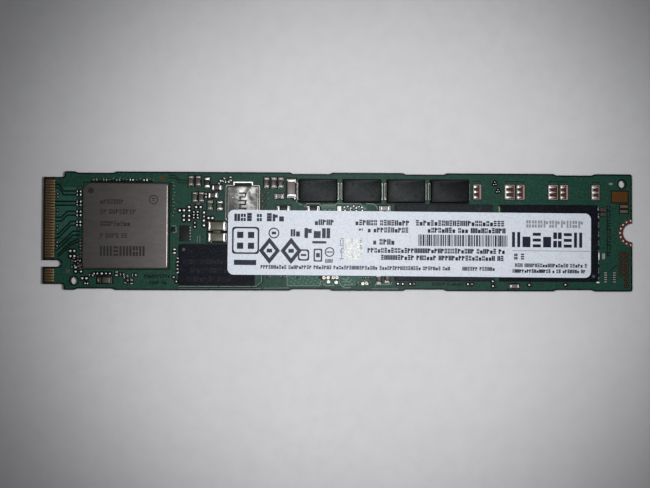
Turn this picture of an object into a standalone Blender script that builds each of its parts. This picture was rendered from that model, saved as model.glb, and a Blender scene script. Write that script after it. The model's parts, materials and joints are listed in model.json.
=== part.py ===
"""Solid state drive on a long M.2 card: 22 mm wide, 110 mm long, chips on both sides.

Lengths in this script are millimetres, and every mesh is made in metres. The card lies flat with
its label up. +X runs from the edge connector to the screw notch, +Y to the side of the hold-up
capacitors, and z = 0 is the face of the lower packages, on which the card rests.
"""

import math

import bmesh
import bpy
from mathutils import Vector

MM = 0.001

# Card
BOARD_LENGTH = 110.0
BOARD_WIDTH = 22.0
BOARD_THICKNESS = 0.8
BOARD_CORNER = 0.45
TONGUE_LENGTH = 4.0
TONGUE_WIDTH = 19.85
TONGUE_CORNER = 0.3
TONGUE_BEVEL_DEPTH = 0.2
TONGUE_BEVEL_LENGTH = 0.3
WEDGE_REACH = 0.5
KEY_WIDTH = 1.2
KEY_DEPTH = 3.5
KEY_OFFSET = -6.125
RECESS_DEPTH = 0.26
RECESS_RAMP = 0.6
RECESSES = ((-49.1, -41.3), (-9.2, -1.2), (11.9, 20.1), (40.1, 48.0))
TOOLING_HOLES = ((-49.12, -9.3), (53.13, 9.15))
TOOLING_HOLE_HALF = (0.68, 0.72)

# Screw notch, plated on both faces and on its wall
NOTCH_RADIUS = 1.75
PAD_RADIUS = 2.62
PLATING = 0.035

# Contact fingers
CONTACT_PITCH = 0.5
CONTACT_WIDTH = 0.35
CONTACT_START = 0.5
CONTACT_LENGTH = 1.68
CONTACT_STRIP = 0.12
UPPER_LONG_GROUP = (9.25, 29)
UPPER_SHORT_GROUP = (-7.25, 5)
LOWER_LONG_GROUP = (9.0, 29)
LOWER_SHORT_GROUP = (-7.5, 4)

# Packages stand on solder balls, and their height counts from the card's face
BALL_STANDOFF = 0.2
PACKAGE_HEIGHT = 1.2
SUBSTRATE_THICKNESS = 0.22
MOULD_WALL = 1.1
MOULD_CORNER = 0.1
MOULD_ROOF = 0.16
DIE_CLEARANCE = 0.05
JOINT_GAP = 0.02
FLASH_SIZE = (18.0, 14.0)
DRAM_SIZE = (13.7, 7.5)
FLASH_CENTRES = ((19.5, -2.0), (39.1, -2.0))
DRAM_CENTRE = (-22.68, -6.35)

# Controller
CONTROLLER_CENTRE = (-39.45, 0.88)
CONTROLLER_SIZE = (15.7, 15.84)
LID_INSET = 0.08
LID_CORNER_CUT = 1.1
LID_CORNER = 0.45
LID_RIM = 0.16
LID_RIM_DROP = 0.05
LID_WALL = 1.3
LID_ROOF = 0.3
CONTROLLER_HEIGHT = 1.25
CONTROLLER_SUBSTRATE = 0.3
CONTROLLER_DIE_SIZE = 8.0

# Hold-up capacitors
HOLDUP_FIRST = -3.98
HOLDUP_PITCH = 8.17
HOLDUP_Y = 7.55
HOLDUP_COUNT = 4
HOLDUP_SIZE = (7.15, 4.35)
HOLDUP_HEIGHT = 1.45
HOLDUP_DRAFT = 0.12
HOLDUP_CORNER = 0.15
TERMINAL_THICKNESS = 0.1
TERMINAL_FOOT = 1.3
TERMINAL_RISE = 0.85
TERMINAL_WIDTH = 3.0

# Power inductor
INDUCTOR_CENTRE = (-17.9, 5.3)
INDUCTOR_SIZE = (5.9, 6.0)
INDUCTOR_HEIGHT = 1.15
INDUCTOR_EDGE = 0.2
WINDING_INNER = 1.1
WINDING_OUTER = 2.4
WINDING_HEIGHT = 0.6
WINDING_CLEARANCE = 0.08
CLIP_WIDTH = 3.4
CLIP_RISE = 0.7
CLIP_FOOT = 0.75

# Small chips and ceramic capacitors: (name, x, y, length, width, height, end cap length).
# A capacitor lies along x, or along y when its length comes with a minus sign.
POWER_CHIP = (-28.7, -0.45, 1.8, 2.9, 0.6)
INPUT_DIODE = (-43.45, -9.15, 2.7, 1.25, 0.8)
CERAMIC_CAPACITORS = (
    ("bulk_capacitor_1", -22.7, 0.9, 3.1, 1.5, 1.1, 0.35),
    ("bulk_capacitor_2", -22.7, -1.17, 3.1, 1.5, 1.1, 0.35),
    ("input_capacitor_1", -27.6, 9.3, -1.6, 0.8, 0.8, 0.28),
    ("input_capacitor_2", -26.25, 9.3, -1.6, 0.8, 0.8, 0.28),
    ("input_capacitor_3", -24.6, 9.0, -1.7, 0.8, 0.8, 0.3),
    ("stage_capacitor_1", -26.85, 6.3, -1.6, 0.8, 0.8, 0.28),
    ("stage_capacitor_2", -25.68, 6.3, -1.6, 0.8, 0.8, 0.28),
    ("output_capacitor_1", -13.6, 9.05, -1.65, 0.8, 0.8, 0.28),
    ("output_capacitor_2", -12.25, 9.05, -1.65, 0.85, 0.8, 0.28),
    ("output_capacitor_3", -10.95, 9.05, -1.65, 0.85, 0.8, 0.28),
    ("output_capacitor_4", -8.95, 8.05, -3.1, 1.5, 1.1, 0.35),
    ("filter_capacitor_1", -10.4, 3.9, 2.1, 1.5, 1.0, 0.35),
    ("filter_capacitor_2", -4.85, 3.9, 2.0, 1.5, 1.0, 0.35),
)
CAPACITOR_WAIST = 0.02
CHIP_CORNER = 0.05

# Label
LABEL_SIZE = (67.32, 11.95)
LABEL_CENTRE = (13.08, -2.26)
LABEL_TILT = -0.33
LABEL_CORNER = 1.1
LABEL_THICKNESS = 0.1

CARD_LOWER = PACKAGE_HEIGHT
CARD_UPPER = CARD_LOWER + BOARD_THICKNESS
ARC_STEPS = 6
HOLE_STEPS = 24
RING_STEPS = 32
BEVEL_STEPS = 3
SMALL_BEVEL_STEPS = 2
COINCIDENT = 1e-7
FACES_UP = 0.9
UP, DOWN = 1, -1


# ---------------------------------------------------------------- scene, materials, helpers


def clear_scene():
    for obj in list(bpy.data.objects):
        bpy.data.objects.remove(obj, do_unlink=True)


def new_collection(name, hidden=False):
    made = bpy.data.collections.new(name)
    bpy.context.scene.collection.children.link(made)
    made.hide_render = hidden
    return made


def new_material(name, colour, roughness, metallic=0.0):
    made = bpy.data.materials.new(name)
    made.use_nodes = True
    shader = made.node_tree.nodes["Principled BSDF"]
    shader.inputs["Base Color"].default_value = (*colour, 1.0)
    shader.inputs["Roughness"].default_value = roughness
    shader.inputs["Metallic"].default_value = metallic
    made.diffuse_color = (*colour, 1.0)
    return made


def place(obj, collection, material=None, centre=(0, 0, 0), turn=(0, 0, 0)):
    """Put an object in its collection, under the card's empty, at centre and turned in degrees."""
    collection.objects.link(obj)
    obj.location = Vector(centre) * MM
    obj.rotation_euler = [math.radians(angle) for angle in turn]
    if material:
        obj.data.materials.append(material)
        obj.parent = bpy.data.objects.get("card_origin")
    return obj


def height_span(side, low, high):
    """Lowest and highest z of what reaches from low to high above the card's upper or lower face."""
    if side == UP:
        return CARD_UPPER + low, CARD_UPPER + high
    return CARD_LOWER - high, CARD_LOWER - low


def box_bmesh(size):
    made = bmesh.new()
    bmesh.ops.create_cube(made, size=1.0)
    bmesh.ops.scale(made, vec=Vector(size) * MM, verts=made.verts)
    return made


def upright_edges(made):
    return [
        edge for edge in made.edges
        if (edge.verts[0].co.xy - edge.verts[1].co.xy).length < COINCIDENT
    ]


def object_from(made, name):
    mesh = bpy.data.meshes.new(name)
    bmesh.ops.recalc_face_normals(made, faces=made.faces)
    made.to_mesh(mesh)
    made.free()
    return bpy.data.objects.new(name, mesh)


def block(name, collection, material, centre, size, z_span, corner=0.0):
    """An upright block between two heights, with its upright edges rounded by corner."""
    made = box_bmesh((*size, z_span[1] - z_span[0]))
    if corner:
        bmesh.ops.bevel(
            made, geom=upright_edges(made), offset=corner * MM, segments=BEVEL_STEPS,
            profile=0.5, affect="EDGES",
        )
    middle = (z_span[0] + z_span[1]) / 2
    return place(object_from(made, name), collection, material, (*centre, middle))


def plate(name, collection, material, outline, z_span, centre=(0, 0), turn=(0, 0, 0)):
    """A flat plate: a filled curve through the outline, as thick as its span of heights."""
    curve = bpy.data.curves.new(name, "CURVE")
    curve.dimensions = "2D"
    curve.fill_mode = "BOTH"
    curve.extrude = (z_span[1] - z_span[0]) / 2 * MM
    spline = curve.splines.new("POLY")
    spline.points.add(len(outline) - 1)
    spline.use_cyclic_u = True
    for point, (x, y) in zip(spline.points, outline):
        point.co = (x * MM, y * MM, 0, 1)
    made = bpy.data.objects.new(name, curve)
    middle = (z_span[0] + z_span[1]) / 2
    return place(made, collection, material, (*centre, middle), turn)


def cut(obj, cutter):
    cutter.display_type = "WIRE"
    cutter.hide_render = True
    boolean = obj.modifiers.new("cut_" + cutter.name, "BOOLEAN")
    boolean.operation = "DIFFERENCE"
    boolean.solver = "EXACT"
    boolean.object = cutter


def arc(centre, radius, start, end, steps=ARC_STEPS):
    """Points on an arc between two angles in degrees, with both ends."""
    turns = [math.radians(start + (end - start) * step / steps) for step in range(steps + 1)]
    return [(centre[0] + radius * math.cos(a), centre[1] + radius * math.sin(a)) for a in turns]


# ---------------------------------------------------------------- circuit board


def recessed_edge(y, direction):
    """Points along a long edge, left to right, with the shallow recesses cut towards the middle."""
    points = []
    inner = y - direction * RECESS_DEPTH
    for start, end in RECESSES:
        points += [
            (start, y), (start + RECESS_RAMP, inner), (end - RECESS_RAMP, inner), (end, y),
        ]
    return points


def board_outline():
    """The card's outline, counter-clockwise from the tongue's lower left corner."""
    left, right = -BOARD_LENGTH / 2, BOARD_LENGTH / 2
    shoulder = left + TONGUE_LENGTH
    side, tongue = BOARD_WIDTH / 2, TONGUE_WIDTH / 2
    key_half = KEY_WIDTH / 2
    notch = NOTCH_RADIUS + PLATING + JOINT_GAP
    small, corner = TONGUE_CORNER, BOARD_CORNER
    outline = arc((left + small, -tongue + small), small, 180, 270)
    outline += arc((shoulder - small, -tongue - small), small, 90, 0)
    outline += arc((shoulder + corner, -side + corner), corner, 180, 270)
    outline += recessed_edge(-side, DOWN)
    outline += arc((right - corner, -side + corner), corner, 270, 360)
    outline += arc((right, 0), notch, 270, 90, 4 * ARC_STEPS)
    outline += arc((right - corner, side - corner), corner, 0, 90)
    outline += reversed(recessed_edge(side, UP))
    outline += arc((shoulder + corner, side - corner), corner, 90, 180)
    outline += arc((shoulder - small, tongue + small), small, 0, -90)
    outline += arc((left + small, tongue - small), small, 90, 180)
    key_end = left + KEY_DEPTH - key_half
    outline += [(left, KEY_OFFSET + key_half)]
    outline += arc((key_end, KEY_OFFSET), key_half, 90, -90, 2 * ARC_STEPS)
    outline += [(left, KEY_OFFSET - key_half)]
    return outline


def tongue_bevel(name, cutters, side):
    """A wedge that takes the tongue's end edge off, on one face of the card."""
    face = CARD_UPPER if side == UP else CARD_LOWER
    slope = TONGUE_BEVEL_DEPTH / TONGUE_BEVEL_LENGTH
    wedge = bmesh.new()
    outer = -BOARD_LENGTH / 2 - WEDGE_REACH
    inner = -BOARD_LENGTH / 2 + TONGUE_BEVEL_LENGTH + WEDGE_REACH
    profile = [
        (outer, face - side * (TONGUE_BEVEL_DEPTH + slope * WEDGE_REACH)),
        (inner, face + side * slope * WEDGE_REACH),
        (outer, face + side * slope * WEDGE_REACH),
    ]
    start = [wedge.verts.new((x * MM, -BOARD_WIDTH * MM, z * MM)) for x, z in profile]
    face_made = wedge.faces.new(start)
    grown = bmesh.ops.extrude_face_region(wedge, geom=[face_made])
    moved = [item for item in grown["geom"] if isinstance(item, bmesh.types.BMVert)]
    bmesh.ops.translate(wedge, vec=(0, 2 * BOARD_WIDTH * MM, 0), verts=moved)
    return place(object_from(wedge, name), cutters)


def extruded(name, collection, material, outline, z_span):
    """A slab from one closed outline, as one face raised from its lower to its upper height."""
    low, high = (height * MM for height in z_span)
    made = bmesh.new()
    floor = made.faces.new([made.verts.new((x * MM, y * MM, low)) for x, y in outline])
    grown = bmesh.ops.extrude_face_region(made, geom=[floor])
    raised = [item for item in grown["geom"] if isinstance(item, bmesh.types.BMVert)]
    bmesh.ops.translate(made, vec=(0, 0, high - low), verts=raised)
    return place(object_from(made, name), collection, material)


def circuit_board(parts, cutters, material):
    board = extruded("circuit_board", parts, material, board_outline(), (CARD_LOWER, CARD_UPPER))
    half_x, half_y = TOOLING_HOLE_HALF
    turns = [2 * math.pi * step / HOLE_STEPS for step in range(HOLE_STEPS)]
    for number, (x, y) in enumerate(TOOLING_HOLES, 1):
        hole = [(x + half_x * math.cos(turn), y + half_y * math.sin(turn)) for turn in turns]
        span = (CARD_LOWER - BOARD_THICKNESS, CARD_UPPER + BOARD_THICKNESS)
        cut(board, extruded(f"tooling_hole_{number}", cutters, None, hole, span))
    cut(board, tongue_bevel("tongue_bevel_upper", cutters, UP))
    cut(board, tongue_bevel("tongue_bevel_lower", cutters, DOWN))


def screw_pad(parts, material):
    """Plating round the half notch: a C-shaped section turned through half a circle."""
    inner, wall = NOTCH_RADIUS, NOTCH_RADIUS + PLATING
    low, high = CARD_LOWER - JOINT_GAP / 2, CARD_UPPER + JOINT_GAP / 2
    section = [
        (inner, high + PLATING), (inner, low - PLATING), (PAD_RADIUS, low - PLATING),
        (PAD_RADIUS, low), (wall, low), (wall, high), (PAD_RADIUS, high), (PAD_RADIUS, high + PLATING),
    ]
    made = bmesh.new()
    corners = [made.verts.new((0, -r * MM, z * MM)) for r, z in section]
    face = made.faces.new(corners)
    steps = 4 * ARC_STEPS
    bmesh.ops.spin(
        made, geom=[face, *face.edges, *face.verts], cent=(0, 0, 0), axis=(0, 0, -1),
        angle=math.pi, steps=steps, use_duplicate=False,
    )
    place(object_from(made, "screw_pad"), parts, material, (BOARD_LENGTH / 2, 0, 0))


def contact_comb(name, parts, material, group, side):
    """Fingers of one group, joined at their root by a thin strip."""
    first, count = group
    half = CONTACT_WIDTH / 2
    start = -BOARD_LENGTH / 2 + CONTACT_START
    end = start + CONTACT_LENGTH
    outline = [(end, first + half)]
    for index in range(count):
        y = first - index * CONTACT_PITCH
        outline += [(start, y + half), (start, y - half)]
        if index < count - 1:
            outline += [(end - CONTACT_STRIP, y - half)]
            outline += [(end - CONTACT_STRIP, y - CONTACT_PITCH + half)]
    outline += [(end, first - (count - 1) * CONTACT_PITCH - half)]
    span = height_span(side, JOINT_GAP / 2, JOINT_GAP / 2 + PLATING)
    plate(name, parts, material, outline, span)


# ---------------------------------------------------------------- moulded packages


def moulded_package(name, parts, cutters, looks, centre, size, side, dies):
    """A substrate on solder balls, its dies, and the moulded cap over them, open to the substrate."""
    under_cap = BALL_STANDOFF + SUBSTRATE_THICKNESS
    block(
        name + "_substrate", parts, looks["substrate"], centre, size,
        height_span(side, BALL_STANDOFF, under_cap),
    )
    cap = block(
        name + "_mould_cap", parts, looks["mould"], centre, size,
        height_span(side, under_cap + JOINT_GAP, PACKAGE_HEIGHT), MOULD_CORNER,
    )
    pocket = [length - 2 * MOULD_WALL for length in size]
    pocket_top = PACKAGE_HEIGHT - MOULD_ROOF
    cutter = block(
        name + "_pocket", cutters, None, centre, pocket,
        height_span(side, under_cap - BALL_STANDOFF / 2, pocket_top),
    )
    cut(cap, cutter)
    block(
        name + dies, parts, looks["silicon"], centre,
        [length - 2 * DIE_CLEARANCE for length in pocket],
        height_span(side, under_cap + JOINT_GAP, pocket_top - DIE_CLEARANCE),
    )


def controller(parts, cutters, looks):
    under_lid = BALL_STANDOFF + CONTROLLER_SUBSTRATE
    block(
        "controller_substrate", parts, looks["substrate"], CONTROLLER_CENTRE, CONTROLLER_SIZE,
        height_span(UP, BALL_STANDOFF, under_lid),
    )
    block(
        "controller_die", parts, looks["silicon"], CONTROLLER_CENTRE,
        (CONTROLLER_DIE_SIZE, CONTROLLER_DIE_SIZE),
        height_span(UP, under_lid + JOINT_GAP, CONTROLLER_HEIGHT - LID_ROOF - DIE_CLEARANCE),
    )
    lid_size = [length - 2 * LID_INSET for length in CONTROLLER_SIZE]
    low, high = height_span(UP, under_lid + JOINT_GAP, CONTROLLER_HEIGHT)
    made = box_bmesh((*lid_size, high - low))
    marked = [edge for edge in upright_edges(made) if edge.verts[0].co.x < 0 < edge.verts[0].co.y]
    bmesh.ops.bevel(made, geom=marked, offset=LID_CORNER_CUT * MM, segments=1, affect="EDGES")
    half_x, half_y = (length / 2 * MM for length in lid_size)
    others = [
        edge for edge in upright_edges(made)
        if abs(abs(edge.verts[0].co.x) - half_x) + abs(abs(edge.verts[0].co.y) - half_y) < COINCIDENT
    ]
    bmesh.ops.bevel(
        made, geom=others, offset=LID_CORNER * MM, segments=BEVEL_STEPS, profile=0.5,
        affect="EDGES",
    )
    bmesh.ops.recalc_face_normals(made, faces=made.faces)
    roof = [face for face in made.faces if face.normal.z > FACES_UP]
    bmesh.ops.inset_region(made, faces=roof, thickness=LID_RIM * MM, use_even_offset=True)
    kept = {vert for face in roof for vert in face.verts}
    rim = [vert for vert in made.verts if vert.co.z > 0 and vert not in kept]
    bmesh.ops.translate(made, vec=(0, 0, -LID_RIM_DROP * MM), verts=rim)
    lid = place(
        object_from(made, "controller_lid"), parts, looks["lid"],
        (*CONTROLLER_CENTRE, (low + high) / 2),
    )
    pocket = [length - 2 * LID_WALL for length in lid_size]
    cut(lid, block(
        "lid_pocket", cutters, None, CONTROLLER_CENTRE, pocket,
        height_span(UP, under_lid - BALL_STANDOFF / 2, CONTROLLER_HEIGHT - LID_ROOF),
    ))


# ---------------------------------------------------------------- power section


def folded_terminal(name, parts, material, corner, direction, width, foot, rise, turn=0):
    """A strip folded under a body: its foot lies on the card and its tab rises beside the body."""
    thick = TERMINAL_THICKNESS
    outline = [
        (0, 0), (direction * thick, 0), (direction * thick, rise), (0, rise),
        (0, thick), (-direction * foot, thick), (-direction * foot, 0),
    ]
    if direction == DOWN:
        outline.reverse()
    centre_x, centre_y = corner
    made = plate(name, parts, material, outline, (-width / 2, width / 2))
    made.rotation_euler = (math.radians(90), 0, math.radians(turn))
    made.location = Vector((centre_x, centre_y, CARD_UPPER + JOINT_GAP)) * MM


def holdup_capacitor(number, parts, looks):
    """A moulded body with drafted sides and a folded terminal at each end."""
    name = f"holdup_capacitor_{number}"
    centre = (HOLDUP_FIRST + (number - 1) * HOLDUP_PITCH, HOLDUP_Y)
    length, width = HOLDUP_SIZE
    under = JOINT_GAP + TERMINAL_THICKNESS + JOINT_GAP
    low, high = height_span(UP, under, HOLDUP_HEIGHT)
    made = box_bmesh((length, width, high - low))
    bmesh.ops.bevel(
        made, geom=upright_edges(made), offset=HOLDUP_CORNER * MM, segments=SMALL_BEVEL_STEPS,
        profile=0.5, affect="EDGES",
    )
    for vert in made.verts:
        if vert.co.z > 0:
            vert.co.x -= math.copysign(HOLDUP_DRAFT * MM, vert.co.x)
            vert.co.y -= math.copysign(HOLDUP_DRAFT * MM, vert.co.y)
    place(object_from(made, name + "_body"), parts, looks["mould"], (*centre, (low + high) / 2))
    end = length / 2 + JOINT_GAP
    for end_name, direction in (("anode", UP), ("cathode", DOWN)):
        folded_terminal(
            f"{name}_{end_name}", parts, looks["tin"], (centre[0] + direction * end, centre[1]),
            direction, TERMINAL_WIDTH, TERMINAL_FOOT, TERMINAL_RISE,
        )


def power_inductor(parts, cutters, looks):
    """A ferrite block with a ring-shaped groove below for its winding, and two end clips."""
    low, high = height_span(UP, 2 * JOINT_GAP + TERMINAL_THICKNESS, INDUCTOR_HEIGHT)
    made = box_bmesh((*INDUCTOR_SIZE, high - low))
    bmesh.ops.bevel(
        made, geom=upright_edges(made), offset=INDUCTOR_EDGE * MM, segments=SMALL_BEVEL_STEPS,
        profile=0.5, affect="EDGES",
    )
    core = place(
        object_from(made, "inductor_core"), parts, looks["ferrite"],
        (*INDUCTOR_CENTRE, (low + high) / 2),
    )
    gap = WINDING_CLEARANCE
    cut(core, ring(
        "winding_groove", cutters, None, WINDING_INNER - gap, WINDING_OUTER + gap,
        (low - gap, low + WINDING_HEIGHT + gap), INDUCTOR_CENTRE,
    ))
    ring(
        "inductor_winding", parts, looks["copper"], WINDING_INNER, WINDING_OUTER,
        (low, low + WINDING_HEIGHT), INDUCTOR_CENTRE,
    )
    reach = INDUCTOR_SIZE[1] / 2 + JOINT_GAP
    for clip_name, direction in (("upper", UP), ("lower", DOWN)):
        folded_terminal(
            f"inductor_terminal_{clip_name}", parts, looks["tin"],
            (INDUCTOR_CENTRE[0], INDUCTOR_CENTRE[1] + direction * reach),
            direction, CLIP_WIDTH, CLIP_FOOT, CLIP_RISE, 90,
        )


def ring(name, collection, material, inner, outer, z_span, centre):
    """A turned ring of rectangular section, its profile run down the outer side."""
    low, high = z_span
    profile = [(outer, high), (outer, low), (inner, low), (inner, high)]
    mesh = bpy.data.meshes.new(name)
    points = [(r * MM, 0, z * MM) for r, z in profile]
    mesh.from_pydata(points, [(0, 1), (1, 2), (2, 3), (3, 0)], [])
    made = bpy.data.objects.new(name, mesh)
    screw = made.modifiers.new("turn", "SCREW")
    screw.axis = "Z"
    screw.steps = screw.render_steps = RING_STEPS
    screw.use_merge_vertices = True
    screw.merge_threshold = COINCIDENT
    return place(made, collection, material, (*centre, 0))


# ---------------------------------------------------------------- small parts and the label


def small_chip(name, parts, material, spec):
    x, y, length, width, height = spec
    span = height_span(UP, 2 * JOINT_GAP, height)
    block(name, parts, material, (x, y), (length, width), span, CHIP_CORNER)


def ceramic_capacitor(parts, material, spec):
    """A small block, a little narrower between its two end caps."""
    name, x, y, signed_length, width, height, end_cap = spec
    half, side = abs(signed_length) / 2, width / 2
    inner, waist = half - end_cap, side - CAPACITOR_WAIST
    outline = [
        (half, -side), (half, side), (inner, side), (inner, waist), (-inner, waist),
        (-inner, side), (-half, side), (-half, -side), (-inner, -side), (-inner, -waist),
        (inner, -waist), (inner, -side),
    ]
    turn = 90 if signed_length < 0 else 0
    span = height_span(UP, 2 * JOINT_GAP, height)
    plate(name, parts, material, outline, span, (x, y), (0, 0, turn))


def label(parts, material):
    half_x, half_y = LABEL_SIZE[0] / 2 - LABEL_CORNER, LABEL_SIZE[1] / 2 - LABEL_CORNER
    outline = []
    for x, y, start in ((1, 1, 0), (-1, 1, 90), (-1, -1, 180), (1, -1, 270)):
        outline += arc((x * half_x, y * half_y), LABEL_CORNER, start, start + 90)
    low = CARD_UPPER + PACKAGE_HEIGHT + JOINT_GAP
    span = (low, low + LABEL_THICKNESS)
    plate("label", parts, material, outline, span, LABEL_CENTRE, (0, 0, LABEL_TILT))


# ---------------------------------------------------------------- the whole card


def main():
    clear_scene()
    parts = new_collection("solid_state_drive")
    cutters = new_collection("cutters", hidden=True)
    origin = bpy.data.objects.new("card_origin", None)
    parts.objects.link(origin)

    solder_mask = new_material("solder_mask", (0.016, 0.052, 0.036), 0.4)
    gold = new_material("contact_gold", (0.42, 0.27, 0.12), 0.35, 1.0)
    tin = new_material("tin_plate", (0.75, 0.75, 0.74), 0.3, 1.0)
    ceramic = new_material("ceramic", (0.16, 0.12, 0.09), 0.45)
    paper = new_material("label_film", (0.62, 0.65, 0.71), 0.5)
    package_looks = {
        "substrate": new_material("substrate", (0.02, 0.05, 0.03), 0.5),
        "mould": new_material("package_mould", (0.012, 0.014, 0.018), 0.5),
        "silicon": new_material("silicon", (0.1, 0.1, 0.12), 0.2, 0.6),
        "lid": new_material("nickel_lid", (0.17, 0.16, 0.155), 0.35, 1.0),
    }
    power_looks = {
        "mould": new_material("capacitor_mould", (0.035, 0.037, 0.04), 0.5),
        "tin": tin,
        "ferrite": new_material("ferrite_block", (0.3, 0.3, 0.29), 0.4, 0.8),
        "copper": new_material("copper", (0.6, 0.27, 0.13), 0.3, 1.0),
    }

    circuit_board(parts, cutters, solder_mask)
    screw_pad(parts, power_looks["copper"])
    contact_comb("contacts_upper_long", parts, gold, UPPER_LONG_GROUP, UP)
    contact_comb("contacts_upper_short", parts, gold, UPPER_SHORT_GROUP, UP)
    contact_comb("contacts_lower_long", parts, gold, LOWER_LONG_GROUP, DOWN)
    contact_comb("contacts_lower_short", parts, gold, LOWER_SHORT_GROUP, DOWN)

    controller(parts, cutters, package_looks)
    for place_name, side in (("upper", UP), ("lower", DOWN)):
        for number, centre in enumerate(FLASH_CENTRES, 1):
            name = f"flash_{place_name}_{number}"
            moulded_package(
                name, parts, cutters, package_looks, centre, FLASH_SIZE, side, "_die_stack",
            )
        name = f"dram_{place_name}"
        moulded_package(
            name, parts, cutters, package_looks, DRAM_CENTRE, DRAM_SIZE, side, "_dies",
        )

    power_inductor(parts, cutters, power_looks)
    for number in range(1, HOLDUP_COUNT + 1):
        holdup_capacitor(number, parts, power_looks)
    small_chip("power_management_chip", parts, package_looks["mould"], POWER_CHIP)
    small_chip("input_diode", parts, package_looks["mould"], INPUT_DIODE)
    for spec in CERAMIC_CAPACITORS:
        ceramic_capacitor(parts, ceramic, spec)
    label(parts, paper)


main()
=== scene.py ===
"""Looks of the long M.2 solid state drive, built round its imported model.

Places are millimetres from the card's middle, +x from the edge connector to the screw notch and
+y to the side of the hold-up capacitors. Heights count outward from the card's upper or lower face.
"""

import json
import random
from math import cos, degrees, exp, pi, radians, sin

import bmesh
import bpy
from mathutils import Matrix, Vector

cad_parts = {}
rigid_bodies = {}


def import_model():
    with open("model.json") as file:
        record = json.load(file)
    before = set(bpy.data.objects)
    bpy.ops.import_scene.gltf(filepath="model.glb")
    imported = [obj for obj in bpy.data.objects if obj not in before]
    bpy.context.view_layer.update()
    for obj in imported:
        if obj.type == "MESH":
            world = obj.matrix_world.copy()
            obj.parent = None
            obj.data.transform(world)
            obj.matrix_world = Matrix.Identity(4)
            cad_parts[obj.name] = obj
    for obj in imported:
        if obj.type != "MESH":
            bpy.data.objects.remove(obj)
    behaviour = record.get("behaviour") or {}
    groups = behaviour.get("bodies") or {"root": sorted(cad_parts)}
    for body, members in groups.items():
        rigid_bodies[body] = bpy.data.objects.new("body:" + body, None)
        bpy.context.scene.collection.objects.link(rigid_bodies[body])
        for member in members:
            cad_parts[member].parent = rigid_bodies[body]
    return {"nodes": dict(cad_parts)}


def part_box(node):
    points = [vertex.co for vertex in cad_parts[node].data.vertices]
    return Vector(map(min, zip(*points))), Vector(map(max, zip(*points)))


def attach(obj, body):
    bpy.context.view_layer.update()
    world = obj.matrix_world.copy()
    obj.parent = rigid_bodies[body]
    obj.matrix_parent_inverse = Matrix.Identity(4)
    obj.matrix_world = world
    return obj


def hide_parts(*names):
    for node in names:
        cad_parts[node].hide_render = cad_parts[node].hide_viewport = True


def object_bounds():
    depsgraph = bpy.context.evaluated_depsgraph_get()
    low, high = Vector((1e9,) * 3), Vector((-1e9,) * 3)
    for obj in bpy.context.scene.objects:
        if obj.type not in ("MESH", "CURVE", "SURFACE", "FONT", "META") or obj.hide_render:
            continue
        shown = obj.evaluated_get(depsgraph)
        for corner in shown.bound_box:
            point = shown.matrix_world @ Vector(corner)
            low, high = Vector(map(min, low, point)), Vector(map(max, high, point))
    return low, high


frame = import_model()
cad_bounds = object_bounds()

MM = 0.001
UP, DOWN = 1, -1
CORNERS = (1, 1), (-1, 1), (-1, -1), (1, -1)
EVEN = (1, 1, 1)
SHARP = radians(35)


class Box:
    """The box of a CAD node, in millimetres."""

    def __init__(self, node):
        self.low, self.high = (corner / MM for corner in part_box(node))
        self.middle, self.size = (self.low + self.high) / 2, self.high - self.low

    @property
    def top(self):
        return self.high.z - FACE[UP]


CARD, LABEL = Box("circuit_board"), Box("label")
LEFT, RIGHT = CARD.low.x, CARD.high.x
FACE = {UP: CARD.high.z, DOWN: CARD.low.z}
LABEL_TILT = radians(-0.33)

# Tops of the thin layers on the card.
TRACE, GAP, CLEAR, MARK, PRINTED, OVER_POUR = 0.004, 0.006, 0.008, 0.01, 0.012, 0.014
COPPER, LINE, RING = 0.02, 0.022, 0.03


# ---- outlines and closed bodies


def rounded(width, height, radius=0.0, steps=3):
    """A rectangle with rounded corners, counter-clockwise round the origin."""
    if radius <= 0:
        return [(sx * width / 2, sy * height / 2) for sx, sy in CORNERS]
    radius = max(min(radius, width / 2 - 1e-4, height / 2 - 1e-4), 1e-4)
    turns = [(corner, radians(90 * (quarter + step / steps)))
             for quarter, corner in enumerate(CORNERS) for step in range(steps + 1)]
    return [(sx * (width / 2 - radius) + radius * cos(turn),
             sy * (height / 2 - radius) + radius * sin(turn)) for (sx, sy), turn in turns]


def disc(radius, count=12):
    turns = [2 * pi * step / count for step in range(count)]
    return [(radius * cos(turn), radius * sin(turn)) for turn in turns]


def moved(outline, dx):
    return [(x + dx, y) for x, y in outline]


def toward(at, turn, reach):
    """The point that far from a place, in the direction of the turn in degrees."""
    return at[0] + reach * cos(radians(turn)), at[1] + reach * sin(radians(turn))


def jumping(step):
    """A number from 0 to 1 that jumps about evenly as step counts up."""
    return (step * 0.618) % 1


def levels(span):
    """Lower and upper height of a body; a single number is one that starts at the card."""
    return span if isinstance(span, tuple) else (0.0, span)


def film(top, half=0.003):
    """Span of print on a face at that height."""
    return top - half, top + half


def baked(mesh, name):
    data = bpy.data.meshes.new(name)
    mesh.to_mesh(data)
    mesh.free()
    return data


def added(name, data):
    made = bpy.data.objects.new(name, data)
    bpy.context.scene.collection.objects.link(made)
    return made


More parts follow.
